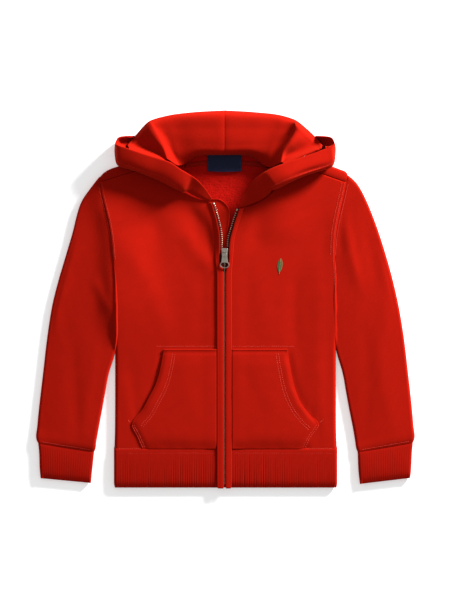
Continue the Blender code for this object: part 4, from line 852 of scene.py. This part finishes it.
def back_grid():
    """Back: a flat sheet whose shoulders fold over by half a circle and run on to the shoulder seams."""
    roll = FRONT_TOP / 2
    right, left = smooth(SHOULDER[RIGHT], 4), smooth(SHOULDER[LEFT], 4)[::-1]
    neck = smooth(BACK_NECK, ROW_STEPS)
    none = np.zeros_like(neck)
    way = np.vstack([unit(right[:, 2:] - right[:, :2]), none, unit(left[:, 2:] - left[:, :2])])
    top = np.vstack([right[:, :2], neck, left[:, :2]]) + roll * way
    end = np.vstack([right[:, 2:], none, left[:, 2:]]) - 0.5 * SEAM * way
    edge = np.append(np.linspace(WAIST_SEAM_Y, 30, 11), np.linspace(42, 158, 12))[:, None]
    rise = soft_step(edge, 0, 190)
    y_top = WAIST_SEAM_Y + (top[:, 1] - WAIST_SEAM_Y) * (edge - WAIST_SEAM_Y) / (175 - WAIST_SEAM_Y)
    y = edge * (1 - rise) + y_top * rise
    share = (top[:, 0] - top[0, 0]) / (top[-1, 0] - top[0, 0])
    x = body_edge(y[:, :1], RIGHT) * (1 - share) + body_edge(y[:, -1:], LEFT) * share
    flat = places(x, y, 0)
    flat = np.concatenate([flat, raised(top + unit(flat[-1:, :, :2] - top), 0)])
    arc = np.linspace(0, math.pi, 13)[:, None]
    over = raised(top - roll * np.sin(arc)[..., None] * way, roll * (1 - np.cos(arc)))
    steps = np.array([0.2, 0.4, 0.6, 0.78, 0.9, 1])[:, None]
    level = FRONT_TOP + 0.4 * np.sin(math.pi * steps) - 0.15 * bell((1 - steps) * 8, 1.6)
    last = raised(top * (1 - steps[..., None]) + end * steps[..., None], level)
    points = np.concatenate([flat, over, last])
    fold = np.repeat([True, False, True], [len(right), len(neck), len(left)])
    keep = np.ones((len(points) - 1, len(top) - 1), bool)
    keep[len(flat):] = fold[:-1] & fold[1:]
    return points, keep


def pocket_height(x, y, side, opening):
    """Outer face of a pocket: the front's face moved out, crowned a little, its opening edge standing up."""
    across = (x - POCKET_INNER[side]) / (opening - POCKET_INNER[side])
    gape = POCKET_GAPE[side] * soft_step(y, -174, -146) * fade(y, -98, -73) * soft_step(across, 0.78, 1)
    sewn = 1.3 * fade(y, -182, -172) * soft_step(across, 0.9, 1)
    crown = 0.8 * np.sin(math.pi * np.clip(across, 0, 1)) * soft_step(y, -212, -190) * fade(y, -96, -74)
    crease = 0.75 * bell(y + 74.5, 1.7) - 0.35 * bell(y + 71.5, 1.1)
    return front_height(x, y, side) + LAP + WALL + gape + crown - crease - sewn


def pocket_grid(side):
    """Half of the front pocket between its inner edge and its opening."""
    y, opening = smooth(POCKET[side], ROW_STEPS).T[..., None]
    across = 1 - (1 - np.linspace(0, 1, 34)) ** 1.25
    x = POCKET_INNER[side] + (opening - POCKET_INNER[side]) * across
    return places(x, y, pocket_height(x, y, side, opening))


# ---- Sleeves, cuffs and waistband ------------------------------------------------------------------------


def tube_rings(rows, top, below, bow=None):
    """Rings of a flattened tube between pairs of plan points: top run, half circle, flat run, half circle.

    bow(share) is how far a ring stands out of the straight line there. Returns the rings and the share across
    of every column of the top run.
    """
    outer, height = rows[:, None, :2], rows[:, 4:5]
    run = rows[:, None, 2:4] - outer
    length = np.linalg.norm(run, axis=-1)
    run = run / length[..., None]
    start = height / 2 / length
    half = np.linspace(0, math.pi, 9)[1:-1]
    shares = np.linspace(0, 1, top)
    s = np.hstack([
        start + (1 - 2 * start) * shares, 1 - start + start * np.sin(half),
        1 - start - (1 - 2 * start) * np.linspace(0, 1, below), start - start * np.sin(half),
    ])
    z = height / 2 * np.concatenate([np.full(top, 2), 1 + np.cos(half), np.zeros(below), 1 - np.cos(half)])
    across = np.stack([-run[..., 1], run[..., 0]], axis=-1)
    out = bow(s) if bow else 0 * s
    return raised(outer + (s * length)[..., None] * run + out[..., None] * across, z), shares


def tuck_ring(rings, top, out, down, rise):
    """One more ring before the first of a tube, moved on by out at right angles to it, its upper run lower
    and its lower run higher, to pass inside its neighbour at a seam."""
    edge = rings[0]
    run = edge[top - 1] - edge[0]
    way = unit(np.array([-run[1], run[0], 0]))
    way = way * np.sign(way @ (edge.mean(axis=0) - rings[1].mean(axis=0)))
    extra = edge + out * way + UP * np.where(edge[:, 2:] > edge[:, 2].mean(), -down, rise)
    return np.concatenate([extra[None], rings])


def sleeve_grid(side):
    """Sleeve: rings from the armhole to the cuff seam, crowned, with long soft folds along them.

    Crown: (1 - (2s - 1)^2)^1.3 over the share s across, times a height that grows away from the armhole.
    """
    table = SLEEVE[side].copy()
    table[1:6, 2] -= side * np.array(SLEEVE_TUCK)
    rows = smooth(table, ROW_STEPS)
    place = np.arange(len(rows))[:, None] / ROW_STEPS
    outer, inner = table[0, :2], table[0, 2:4]
    length = np.hypot(*(inner - outer))
    run = (inner - outer) / length
    y = np.linspace(outer[1], inner[1], 25)
    seam = np.column_stack([body_edge(y, side) + side * ARM_SEAM, y]) - outer
    along, out = seam @ run / length, seam @ [-run[1], run[0]]
    near = np.clip(1 - place / 2.5, 0, 1) ** 2
    rings, shares = tube_rings(rows, SLEEVE_TOP, 22, lambda s: np.interp(s, along, out) * near)
    upper = rings[:, :SLEEVE_TOP]
    rise = 0.8 * soft_step(place, 0.2, 3) * (1 - 0.75 * soft_step(place, 10, 12))
    folds = fold_lift(upper[..., 0], upper[..., 1], SLEEVE_FOLDS[side]) * fade(place, 11.2, 12)
    lift = rise * (1 - (2 * shares - 1) ** 2) ** 1.3 + folds
    edges = soft_step(shares, 0, 0.07) * fade(shares, 0.93, 1)
    dip = 0.15 * (side == LEFT) * bell(place * 9, 1.6) + 0.12 * bell((place[-1] - place) * 5, 1.6)
    upper[..., 2] = np.maximum(upper[..., 2] + lift * edges - dip, 5.2)
    share_up = np.clip(rings[..., 2] / rows[:, 4:5], 0, 1)
    share = np.clip((rings[..., 0] - rows[:, :1]) / (rows[:, 2:3] - rows[:, :1]), 0, 1)
    lean = SLEEVE_LEAN[side] * soft_step(place, 0.5, 4) * fade(place, 9.5, 12) * (2 * share - 1)
    rings[..., 2] += (lean + armhole_ridge(rings[..., 0], rings[..., 1], side)) * share_up
    return tuck_ring(rings, SLEEVE_TOP, 2.4, 1.8, 0.6)


def ribs(count, steps=6):
    """(1 + cos) / 2 over each rib."""
    return 0.5 + 0.5 * np.cos(np.linspace(0, TAU * count, steps * count + 1))


def cuff_grid(side):
    """Ribbed cuff: a flattened tube with ribs along it, rolled in at the wrist."""
    table = CUFF[side]
    width = np.hypot(*(table[1, :2] - table[1, 2:4]))
    crest = ribs(int(round((width - 8) / RIB_PITCH)), 4)
    top = len(crest)
    rings, shares = tube_rings(smooth(table, 4), top, 18)
    share = np.linspace(0, 1, len(rings))[:, None]
    depth = CUFF_RIB * (0.4 + 0.6 * soft_step(share, 0, 0.2)) * (1 - 0.3 * soft_step(share, 0.8, 1))
    uneven = 0.75 + 0.25 * np.sin(np.arange(top) / 21)
    swell = 0.5 * (1 - (2 * shares - 1) ** 4) * np.sin(math.pi * share)
    dip = 0.2 * bell(share * 45, 1.6) + 1.6 * bell((1 - share) * 45, 4)
    rings[:, :top, 2] += swell - depth * (1 - crest) * uneven - dip
    return tuck_ring(rings, top, 2.6, 1.9, 2.2)


def waistband_grid():
    """Waistband: from one zip edge round the back to the other, ribs across it.

    The path is the top run, a half circle at the side, the run below, and the same again.
    """
    radius = (FRONT_TOP + 0.5) / 2
    half = np.linspace(0, math.pi, 11)[1:-1]
    runs = {}
    for side, (zip_x, side_x) in WAIST_ENDS.items():
        turn = side_x - side * radius
        rib = ribs(int(round(abs(turn - zip_x) / RIB_PITCH)))
        x = np.append(np.linspace(zip_x, turn, len(rib)), turn + side * radius * np.sin(half))
        z = np.append(np.full(len(rib), 2 * radius), radius + radius * np.cos(half))
        runs[side] = np.stack([x, z, np.append(rib, np.ones(len(half)))])
    under = np.linspace(WAIST_ENDS[RIGHT][1] + radius, WAIST_ENDS[LEFT][1] - radius, 40)
    below = np.stack([under, 0 * under, np.ones(40)])
    x, z, crest = np.hstack([runs[RIGHT], below, runs[LEFT][:, ::-1]])
    share = np.array([0, 0.03, 0.07, 0.12, 0.2, 0.35, 0.5, 0.65, 0.8, 0.88, 0.94, 0.98, 1])[:, None]
    y = (WAIST_SEAM_Y - SEAM) + (HEM_Y - WAIST_SEAM_Y + SEAM) * share
    top_side = soft_step(z, radius, 2 * radius - 0.3)
    number = np.floor((x + 200) / RIB_PITCH).astype(int)
    uneven = np.random.default_rng(7).uniform(0, 1, (2, number.max() + 1))
    strength = WAIST_RIB * (0.25 + 0.75 * bell(x + 10, 95)) * (0.25 + 0.95 * uneven[0, number] ** 1.5)
    start = 0.05 + 0.5 * uneven[1, number]
    depth = strength * (0.2 + 0.8 * soft_step(share, start, start + 0.35))
    drop = 0.2 * bell(share * 54, 1.6) + 2 * bell((1 - share) * 54, 4.5)
    height = z + top_side * (0.7 * np.sin(math.pi * share) - drop - depth * (1 - crest))
    corner = 1.2 * soft_step(share, 0.9, 1) * np.sign(x) * soft_step(np.abs(x), 150, 158)
    return tucked(places(x - corner, y, height), False, 2.6, np.where(z > radius, 1.9, -2.2))


# ---- Zip -------------------------------------------------------------------------------------------------


def zip_rows(side):
    """Rows of a zip edge: straight up to the slider, then a smooth curve to the neck."""
    table = FLAP[side]
    f = np.linspace(0, 1, 9)[:-1, None]
    straight = [a + (b - a) * f for a, b in zip(table[1:3], table[2:4])]
    return np.vstack([smooth(table[:2], 3)[:-1], *straight, smooth(table[3:], 4)])


def flap_rings(side):
    """Flap over the zip: a flat oval section carried along its two edges, with a shallow groove where it is
    sewn. Section: a superellipse of power 3."""
    y, inner, outer = zip_rows(side).T[..., None]
    turn = np.linspace(0, TAU, 22, endpoint=False)
    wide, high = (np.sign(way) * np.abs(way) ** (2 / 3) for way in (np.cos(turn), np.sin(turn)))
    wave = 0.12 * np.sin(y / 13 + FLAP_WAVE[side]) + 0.1 * np.sin(y / 5.1)
    groove = 0.35 * bell(wide - 0.45, 0.16) * (high > 0.5)
    lean = (side == RIGHT) * soft_step(y, 52, 76) * (1.6 * wide + 0.8)
    z = FLAP_BASE + FLAP_THICK / 2 * (1 + high) + wave * (high > 0) - groove - lean
    return places((inner + outer) / 2 + (outer - inner) / 2 * wide, y, z)


def tape_edges(side):
    """Rows of a zip tape and its inner edge x there: below the flap when closed, past it when open."""
    y, edge = zip_rows(side)[3:, :2].T
    shows = TAPE_SHOWS * soft_step(y, 52, 90)
    open_zip = soft_step(y, 50, 74)
    return y, (ZIP_X + side * 0.25) * (1 - open_zip) + (edge - side * shows) * open_zip


def tape_grid(side):
    """Zip tape: a flat strip outwards from its inner edge."""
    y, inner = tape_edges(side)
    return places(inner[:, None] + side * TAPE_WIDTH * np.linspace(0, 1, 9), y[:, None], TAPE_BASE + TRIM)


def guard_grid():
    """Guard behind the zip, its free edge and its top rolled up into a soft bead."""
    y, right, left = smooth(ZIP_GUARD, ROW_STEPS).T[..., None]
    s = np.linspace(0, 1, 15)
    at_side = bell(1 - s, 0.1) * soft_step(y, 80, 110)
    at_top = bell(fade(y, 136, 143.2), 0.4) * soft_step(y, 120, 140)
    return places(right + (left - right) * s, y, GUARD_TOP + 1.5 * np.maximum(at_side, at_top))


def stamped(template, faces, centres, along, up):
    """Copies of a small shape: centre + a*along + b*side + c*up for each template point (a, b, c).

    The template may also differ from copy to copy.
    """
    up = np.broadcast_to(up, along.shape)
    points = centres[:, None] + template @ np.stack([along, unit(np.cross(up, along)), up], axis=1)
    first = np.arange(len(centres))[:, None, None] * points.shape[1]
    return points.reshape(-1, 3), (first + faces).reshape(-1, 4)


def small_parts(name, groups, finish):
    """One object from several groups of (points in millimetres, quads)."""
    firsts = np.cumsum([0] + [len(points) for points, _ in groups])
    faces = np.vstack([faces + first for (_, faces), first in zip(groups, firsts)])
    mesh = bpy.data.meshes.new(name)
    mesh.from_pydata((np.vstack([points for points, _ in groups]) * MM).tolist(), [], faces.tolist())
    piece = link(name, mesh, finish)
    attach(piece, "garment")


def ring_template(rings, sides):
    """Closed shape on rings: rows of (place along, half width, half height), sides points round each, its two
    ends closed by quads that meet on a line. Returns points and quads."""
    turn = (np.arange(sides) + 0.5) / sides * TAU
    along, wide, high = np.array(rings).T[..., None]
    points = places(along, wide * np.cos(turn), high * np.sin(turn)).reshape(-1, 3)
    c = np.arange(1, sides // 2)
    end = np.column_stack([c - 1, sides - c, sides - c - 1, c])
    other_end = end[:, [0, 3, 2, 1]] + (len(rings) - 1) * sides
    return points, np.vstack([quads(joined(np.arange(len(points)).reshape(-1, sides))), end, other_end])


TOOTH = ring_template([
    (-0.62, 1.35, 0.95), (-0.55, 1.5, 1.1), (0, 1.6, 1.2), (0.55, 1.5, 1.1), (0.62, 1.35, 0.95),
], 8)
STOP_SCALE = (2.6, 1.1, 1.1)


def teeth():
    """Teeth along both tapes, meshed below the slider and apart above it, and a stop at the end of each."""
    groups = []
    for side, phase in ((RIGHT, 0), (LEFT, 0.5)):
        y_edge, x_edge = tape_edges(side)
        top = y_edge[-1] - 4
        y = np.arange(ZIP_FOOT_Y + phase * TOOTH_PITCH, top, TOOTH_PITCH)
        y = y[(y < SLIDER_Y - SLIDER_BELOW) | (y > SLIDER_Y + SLIDER_ABOVE)]
        centres = places(np.interp(y, y_edge, x_edge) - side * TOOTH_INSET, y, TAPE_BASE + TRIM / 2)
        along = unit(places(np.interp(y, y_edge, np.gradient(x_edge, y_edge)), 1, 0))
        groups.append(stamped(*TOOTH, centres, along, UP))
        stop = np.array([[np.interp(top + 2, y_edge, x_edge) - side * 0.4, top + 2, TAPE_BASE + 0.5]])
        groups.append(stamped(TOOTH[0] * STOP_SCALE, TOOTH[1], stop, along[-1:], UP))
    small_parts("zip_teeth", groups, BRONZE)


# ---- Hood ------------------------------------------------------------------------------------------------


def hood_outer_grid(side):
    """Outer side of the hood: from the face edge over and down to its fold, then under to the neck seam.

    Each section is two Bezier arcs. Where the fold hangs over the root, the first reaches it going straight
    down and the second ends lying flat. Where it doesn't, near the zip, both run nearly straight.
    """
    edge, fold, root = np.split(smooth(HOOD_OUTER[side], ROW_STEPS)[:, None], 3, axis=-1)
    drop = (edge - fold) * UP
    out, back = (fold - edge) * (1 - UP), (fold - root) * (1 - UP)
    reach = np.linalg.norm(out, axis=-1, keepdims=True)
    hang = soft_step((back * out).sum(axis=-1, keepdims=True) / reach, -1, 6)
    near_edge, near_fold = BAND_SHAPE[side]

    def arc(t, a, b, c, d):
        b = (2 * a + d) / 3 * (1 - hang) + b * hang
        c = (a + 2 * d) / 3 * (1 - hang) + c * hang
        return (1 - t) ** 3 * a + 3 * (1 - t) ** 2 * t * b + 3 * (1 - t) * t**2 * c + t**3 * d

    t = np.linspace(0, 1, BAND_TOP)
    top = arc(t[:, None], edge, edge + 0.62 * out + near_edge * drop, fold + near_fold * drop, fold)
    low = arc(np.linspace(0, 1, 9)[1:, None], fold, fold - 0.7 * (fold - root) * UP, root + 0.55 * back, root)
    points = np.concatenate([top, low], axis=1)
    place = np.arange(len(points))[:, None] / ROW_STEPS
    for row, at, width, t_mid, t_width, height in HOOD_CREASES[side]:
        points[:, :BAND_TOP, 2] += height * bell(place - row - at * t, width) * bell(t - t_mid, t_width)
    first = ROW_STEPS * (EAR_ROW - 1)
    foot = smooth(EAR_FOOT * (side, 1, 1), ROW_STEPS)[:, None]
    t = np.linspace(0, 1, EAR_STEPS + 1)[:-1]
    inside = foot + (points[first:, :1] - foot) * t[:, None]
    inside[..., 2] -= 3 * np.sin(math.pi * t)
    start = np.repeat(points[:first, :1], EAR_STEPS, axis=1)
    points = np.concatenate([np.concatenate([start, inside]), points], axis=1)
    keep = np.ones((points.shape[0] - 1, points.shape[1] - 1), bool)
    keep[:first, :EAR_STEPS] = False
    return points, keep


def lining_grid(side):
    """Inside of one half of the hood: wing and dome in one sheet that rolls over at the top.

    Its face edge lies along the face edge of the hood's outer side as far as the hood's corner, and it dips
    into the middle seam.
    """
    net = LINING[side].reshape(-1, LINING_PLACES, 3)
    points = smooth_net(net, LINING_STEPS, 7)
    edge = smooth(HOOD_OUTER[side][:EAR_ROW], LINING_STEPS)
    sewn = points[:LINING_STEPS * (SEWN_ROWS - 1) + 1, 0]
    for axis, gap in ((1, FACE_SEAM), (2, -LAP)):
        sewn[:, axis] = np.interp(side * sewn[:, 0], side * edge[:, 0], edge[:, axis]) + gap
    points[..., 2] -= 0.7 * bell(points[..., 0] - net[0, -1, 0], 1.2)
    return points


def heap_rings():
    """Hidden layers of the hood: a section of rolled layers carried from end to end.

    Round each section: flat below, up the back edge over |sin| rolls, over a low crown, down the front edge
    over the same rolls.
    """
    back, front = np.split(smooth(HEAP_OUTLINE, ROW_STEPS)[:, None], 2, axis=-1)
    level = np.linspace(0, 1, 8 * HEAP_LAYERS + 1)
    width = np.linalg.norm(back - front, axis=-1)
    bulge = np.maximum(HEAP_ROLL * (np.abs(np.sin(math.pi * HEAP_LAYERS * level)) - 1), -0.3 * width)
    move = bulge[..., None] * unit(back - front)
    up_back = raised(back + move, level * HEAP_HEIGHT)
    down_front = raised(front - move, level * HEAP_HEIGHT)[:, ::-1]
    steps = np.linspace(0, 1, 22)[1:-1, None]
    over = up_back[:, -1:] + (down_front[:, :1] - up_back[:, -1:]) * steps
    over[..., 2] += HEAP_CROWN * np.sin(math.pi * steps[:, 0]) ** 1.5 * soft_step(width, 2, 30)
    below = down_front[:, -1:] + (up_back[:, :1] - down_front[:, -1:]) * steps[::2]
    return np.concatenate([up_back, over, down_front, below], axis=1)


# ---- Neck trim -------------------------------------------------------------------------------------------


def neck_tape_grid():
    """Tape along the back neck seam: a constant depth below a smooth arc."""
    x, y = smooth(TAPE_ARC, 10).T[..., None]
    down = np.linspace(0, 1, 7)
    return places(x, y - NECK_TAPE_DEPTH * down, BACK_TOP + LAP + TRIM + 0.15 * np.sin(math.pi * down))


def label_grid():
    """Woven label: a rectangle whose free edge bows down and lifts in the middle."""
    across = np.linspace(-0.5, 0.5, 25)
    down = np.linspace(0, 1, 15)[:, None]
    bow = 1 - (2 * across) ** 2
    y = LABEL_TOP_Y - LABEL_DEPTH * down - down * bow
    z = LABEL_BASE + TRIM + 0.9 * down**2 * bow + 0.12 * np.sin(9 * across) * down
    return places(LABEL_X + LABEL_WIDTH * across, y, z)


# ---- Sewing ----------------------------------------------------------------------------------------------

STITCH = ring_template([(-1.15, 0.14, 0.1), (-0.8, 0.34, 0.26), (0.8, 0.34, 0.26), (1.15, 0.14, 0.1)], 6)
STITCH_LENGTH = 2.3
STITCH_PITCH = 3
WAIST_ROWS = (1.5, -5.2)  # above the waist seam, on the fronts and on the band
ARMHOLE_ROWS = ((2.2, 0), (6, 62))  # in from the armhole | lowest y; the second only on the left
POCKET_TOP_ROW_Y = -66.8
POCKET_CORNER = (133, -177.5)
OPENING_ROWS = (13.5, 17)  # in from the pocket's opening edge
POCKET_SIDE_ROWS = (1.3, 4.2)  # in from the sewn edge below the opening
HOOD_HEM = 24


def stitch_row(path, up=UP, pitch=STITCH_PITCH, scale=(1, 1, 1), sink=0.05):
    """Stitches of one length at even spacing along a path: each lies along the path's own direction."""
    length = run_length(path)
    count = max(1, int(length[-1] // pitch))
    middle = (np.arange(count) + 0.5) * length[-1] / count

    def read(s, of):
        return np.column_stack([np.interp(s, length, values) for values in of.T])

    along = unit(read(middle + 0.9, path) - read(middle - 0.9, path))
    normal = read(middle, np.broadcast_to(up, path.shape))
    normal = unit(normal - (normal * along).sum(axis=1, keepdims=True) * along)
    return stamped(STITCH[0] * scale, STITCH[1], read(middle, path) - normal * sink, along, normal)


def on_front(x, y, side):
    """Points and normals on a front's face: the normal is (-dz/dx, -dz/dy, 1)."""
    dx = front_height(x + 0.5, y, side) - front_height(x - 0.5, y, side)
    dy = front_height(x, y + 0.5, side) - front_height(x, y - 0.5, side)
    return places(x, y, front_height(x, y, side)), unit(places(-dx, -dy, 1))


def on_grid(grid, r, c):
    """Points and upward normals on a grid along a path of rows and columns."""
    normal = unit(np.cross(np.gradient(grid, axis=1), np.gradient(grid, axis=0)))
    return at_place(grid, r, c), unit(at_place(normal * np.sign(normal[..., 2].mean()), r, c))


def body_stitches(sleeves):
    """Rows on both sides of the waist seam and of the armholes."""
    groups = []
    for side in SIDES:
        x = side * np.linspace(14, 152, 120)
        groups.append(stitch_row(*on_front(x, WAIST_SEAM_Y + WAIST_ROWS[0], side), sink=-0.05))
        groups.append(stitch_row(places(x, WAIST_SEAM_Y + WAIST_ROWS[1], FRONT_TOP + 0.55)))
        y = np.linspace(UNDERARM_Y - 60 * (side == LEFT), 165, 150)
        for inset, lowest in ARMHOLE_ROWS[:1 + (side == LEFT)]:
            at = y[y > lowest]
            groups.append(stitch_row(*on_front(body_edge(at, side) - side * inset, at, side), sink=-0.1))
        groups.append(stitch_row(*on_grid(sleeves[side][:, :SLEEVE_TOP], 2.2, np.linspace(3, 44, 120))))
    small_parts("body_topstitching", groups, THREAD)


def plan_offset(path, distance):
    """A plan path moved sideways by a distance, along its own normals."""
    way = unit(np.gradient(path, axis=0))
    return path + distance * np.column_stack([way[:, 1], -way[:, 0]])


def pocket_stitches():
    """Rows round the pockets: one above the top, two along the curved opening, two down the side and a bar
    across the corner."""
    groups = []
    for side in SIDES:
        rows = smooth(POCKET[side], 2 * ROW_STEPS)
        x = np.linspace(POCKET_INNER[side], side * 98, 80)
        groups.append(stitch_row(*on_front(x, POCKET_TOP_ROW_Y, side)))
        for insets, lowest, run in (
            (OPENING_ROWS, -205, rows[rows[:, 0] > -176]), (POCKET_SIDE_ROWS, -211, rows[rows[:, 0] < -177]),
        ):
            for inset in insets:
                x, y = plan_offset(run[:, ::-1], -side * inset).T
                path = places(x, y, pocket_height(x, y, side, np.interp(y, rows[:, 0], rows[:, 1])))
                groups.append(stitch_row(path[(y > lowest) & (y < -76)]))
        bar = np.linspace(0, 1, 12)
        x, y = side * (POCKET_CORNER[0] - 6 + 12 * bar), POCKET_CORNER[1] - 3 + 9 * bar
        groups.append(stitch_row(*on_front(x, y, side), pitch=1.5))
    small_parts("pocket_topstitching", groups, THREAD)


def hood_stitches(hoods):
    """The hood's hem: a row at one distance from its face edge."""
    groups = []
    for side in SIDES:
        band = hoods[side][:, EAR_STEPS:EAR_STEPS + BAND_TOP]
        rows = np.arange(ROW_STEPS * 4.6, ROW_STEPS * 10.6, 0.5)
        lengths = [run_length(section) for section in band[rows.astype(int)]]
        columns = np.array([np.interp(min(HOOD_HEM, s[-1] * 0.86), s, np.arange(BAND_TOP)) for s in lengths])
        groups.append(stitch_row(*on_grid(band, rows, columns), scale=(1, 0.7, 0.7), sink=0.12))
    small_parts("hood_topstitching", groups, THREAD)


def cuff_stitches(sleeves):
    """A row above each cuff seam."""
    uppers = [sleeves[side][:, :SLEEVE_TOP] for side in SIDES]
    groups = [stitch_row(*on_grid(upper, len(upper) - 4.4, np.linspace(2, 45, 90))) for upper in uppers]
    small_parts("cuff_topstitching", groups, THREAD)


def label_stitches():
    """Short rows that hold the label at its two ends."""
    y = np.linspace(LABEL_TOP_Y - 8, LABEL_TOP_Y - LABEL_DEPTH + 1, 20)
    ends = [LABEL_X + side * (LABEL_WIDTH / 2 - 1.4) for side in SIDES]
    paths = [places(x, y, LABEL_BASE + TRIM + 0.08) for x in ends]
    groups = [stitch_row(path, pitch=2, scale=(0.6, 0.8, 0.8)) for path in paths]
    small_parts("label_stitching", groups, NAVY_THREAD)


def leaf_rib(s):
    """Places in plan on the leaf's middle rib, at shares of its length."""
    return LEAF_FOOT + np.column_stack([2.2 * np.sin(1.2 * s), LEAF_LENGTH * s])


def leaf():
    """Small embroidered leaf: satin stitches slanting up from a middle rib to a pointed oval outline."""
    s = np.linspace(0.06, 0.96, 30)
    half = LEAF_HALF_WIDTH * np.sin(math.pi * s**0.8) ** 0.8
    groups = []
    for sign in (-1, 1):
        run = places(sign * half, 0.55 * half, 0)
        x, y = (leaf_rib(s) + run[:, :2] / 2).T
        centres, normal = on_front(x, y, LEFT)
        size = places(np.linalg.norm(run, axis=1) / STITCH_LENGTH, 1.3, 1.3)
        centres = centres + 0.15 * normal
        groups.append(stamped(STITCH[0] * size[:, None], STITCH[1], centres, unit(run), normal))
    small_parts("embroidered_leaf", groups, LEAF_GREEN)
    x, y = leaf_rib(np.linspace(-0.12, 0.98, 24)).T
    path, normal = on_front(x, y, LEFT)
    small_parts("embroidered_stem", [stitch_row(path + 0.4 * normal, normal, pitch=1.8)], LEAF_TAN)


# ---- Making ----------------------------------------------------------------------------------------------


def make_body():
    """Back, fronts, pockets, sleeves, cuffs and waistband. Returns the sleeves' grids, for their sewing."""
    points, keep = back_grid()
    cloth("back_cloth", points, looks="down", held="folded", on=["table"], keep=keep)
    for side in SIDES:
        cloth("front_cloth", front_grid(side), side, on=["back_cloth"])
    for side in SIDES:
        cloth("pocket_cloth", pocket_grid(side), side, on=[sided("front_cloth", side)])
    tube = {"thickness": TUBE_WALL, "looks": "out", "held": "folded", "on": ["table"]}
    sleeves = {side: sleeve_grid(side) for side in SIDES}
    for side in SIDES:
        cloth("sleeve_cloth", sleeves[side], side, closed=True, **tube)
    for side in SIDES:
        cloth("cuff_rib", cuff_grid(side), side, [RIBBING], "rib", closed=True, **tube)
    cloth("waist_rib", waistband_grid(), None, [RIBBING], "rib", **tube)
    return sleeves


def make_zip():
    """Flaps, tapes, guard and teeth."""
    for side in SIDES:
        closed_roll("zip_flap_cloth", flap_rings(side), side)
        cloth("zip_tape_cloth", tape_grid(side), side, [ZIP_TAPE], "tape", TRIM, rounded=False,
              on=["zip_guard_cloth"])
    cloth("zip_guard_cloth", guard_grid(), None, [JERSEY], thickness=GUARD_WALL, on=["back_cloth"])
    teeth()


def make_hood():
    """Outer sides, linings and hidden layers. Returns the outer sides' grids, for their sewing."""
    hoods = {}
    for side in SIDES:
        hoods[side], keep = hood_outer_grid(side)
        cloth("hood_cloth", hoods[side], side, thickness=TUBE_WALL, held="folded",
              on=[sided("front_cloth", side)], keep=keep)
        cloth("hood_lining_cloth", lining_grid(side), side, [JERSEY], thickness=LINING_WALL, held="folded",
              on=["hood_layers"])
    closed_roll("hood_layers", heap_rings())
    return hoods


def make_neck():
    """Tape and bare label inside the neck."""
    cloth("neck_tape_cloth", neck_tape_grid(), None, [NECK_TAPE], "tape", TRIM, rounded=False,
          on=["back_cloth"])
    cloth("label_cloth", label_grid(), None, [LABEL], "label", LABEL_WALL, on=["neck_tape_cloth"])


def add_table():
    """Table top: a wide plain plane just under the garment."""
    corners = [(-1, -1), (1, -1), (1, 1), (-1, 1)]
    mesh = bpy.data.meshes.new("table")
    mesh.from_pydata([(x * TABLE_HALF, y * TABLE_HALF, TABLE_LEVEL) for x, y in corners], [], [(0, 1, 2, 3)])
    link("table", mesh, plain_table("pale_table"))


add_camera()
add_light()
add_table()
SLEEVES = make_body()
make_zip()
HOODS = make_hood()
make_neck()
body_stitches(SLEEVES)
pocket_stitches()
hood_stitches(HOODS)
cuff_stitches(SLEEVES)
label_stitches()
leaf()
for metal_node in ("zip_slider", "zip_pull"):
    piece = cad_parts[metal_node]
    piece.data.materials.clear()
    piece.data.materials.append(PEWTER)
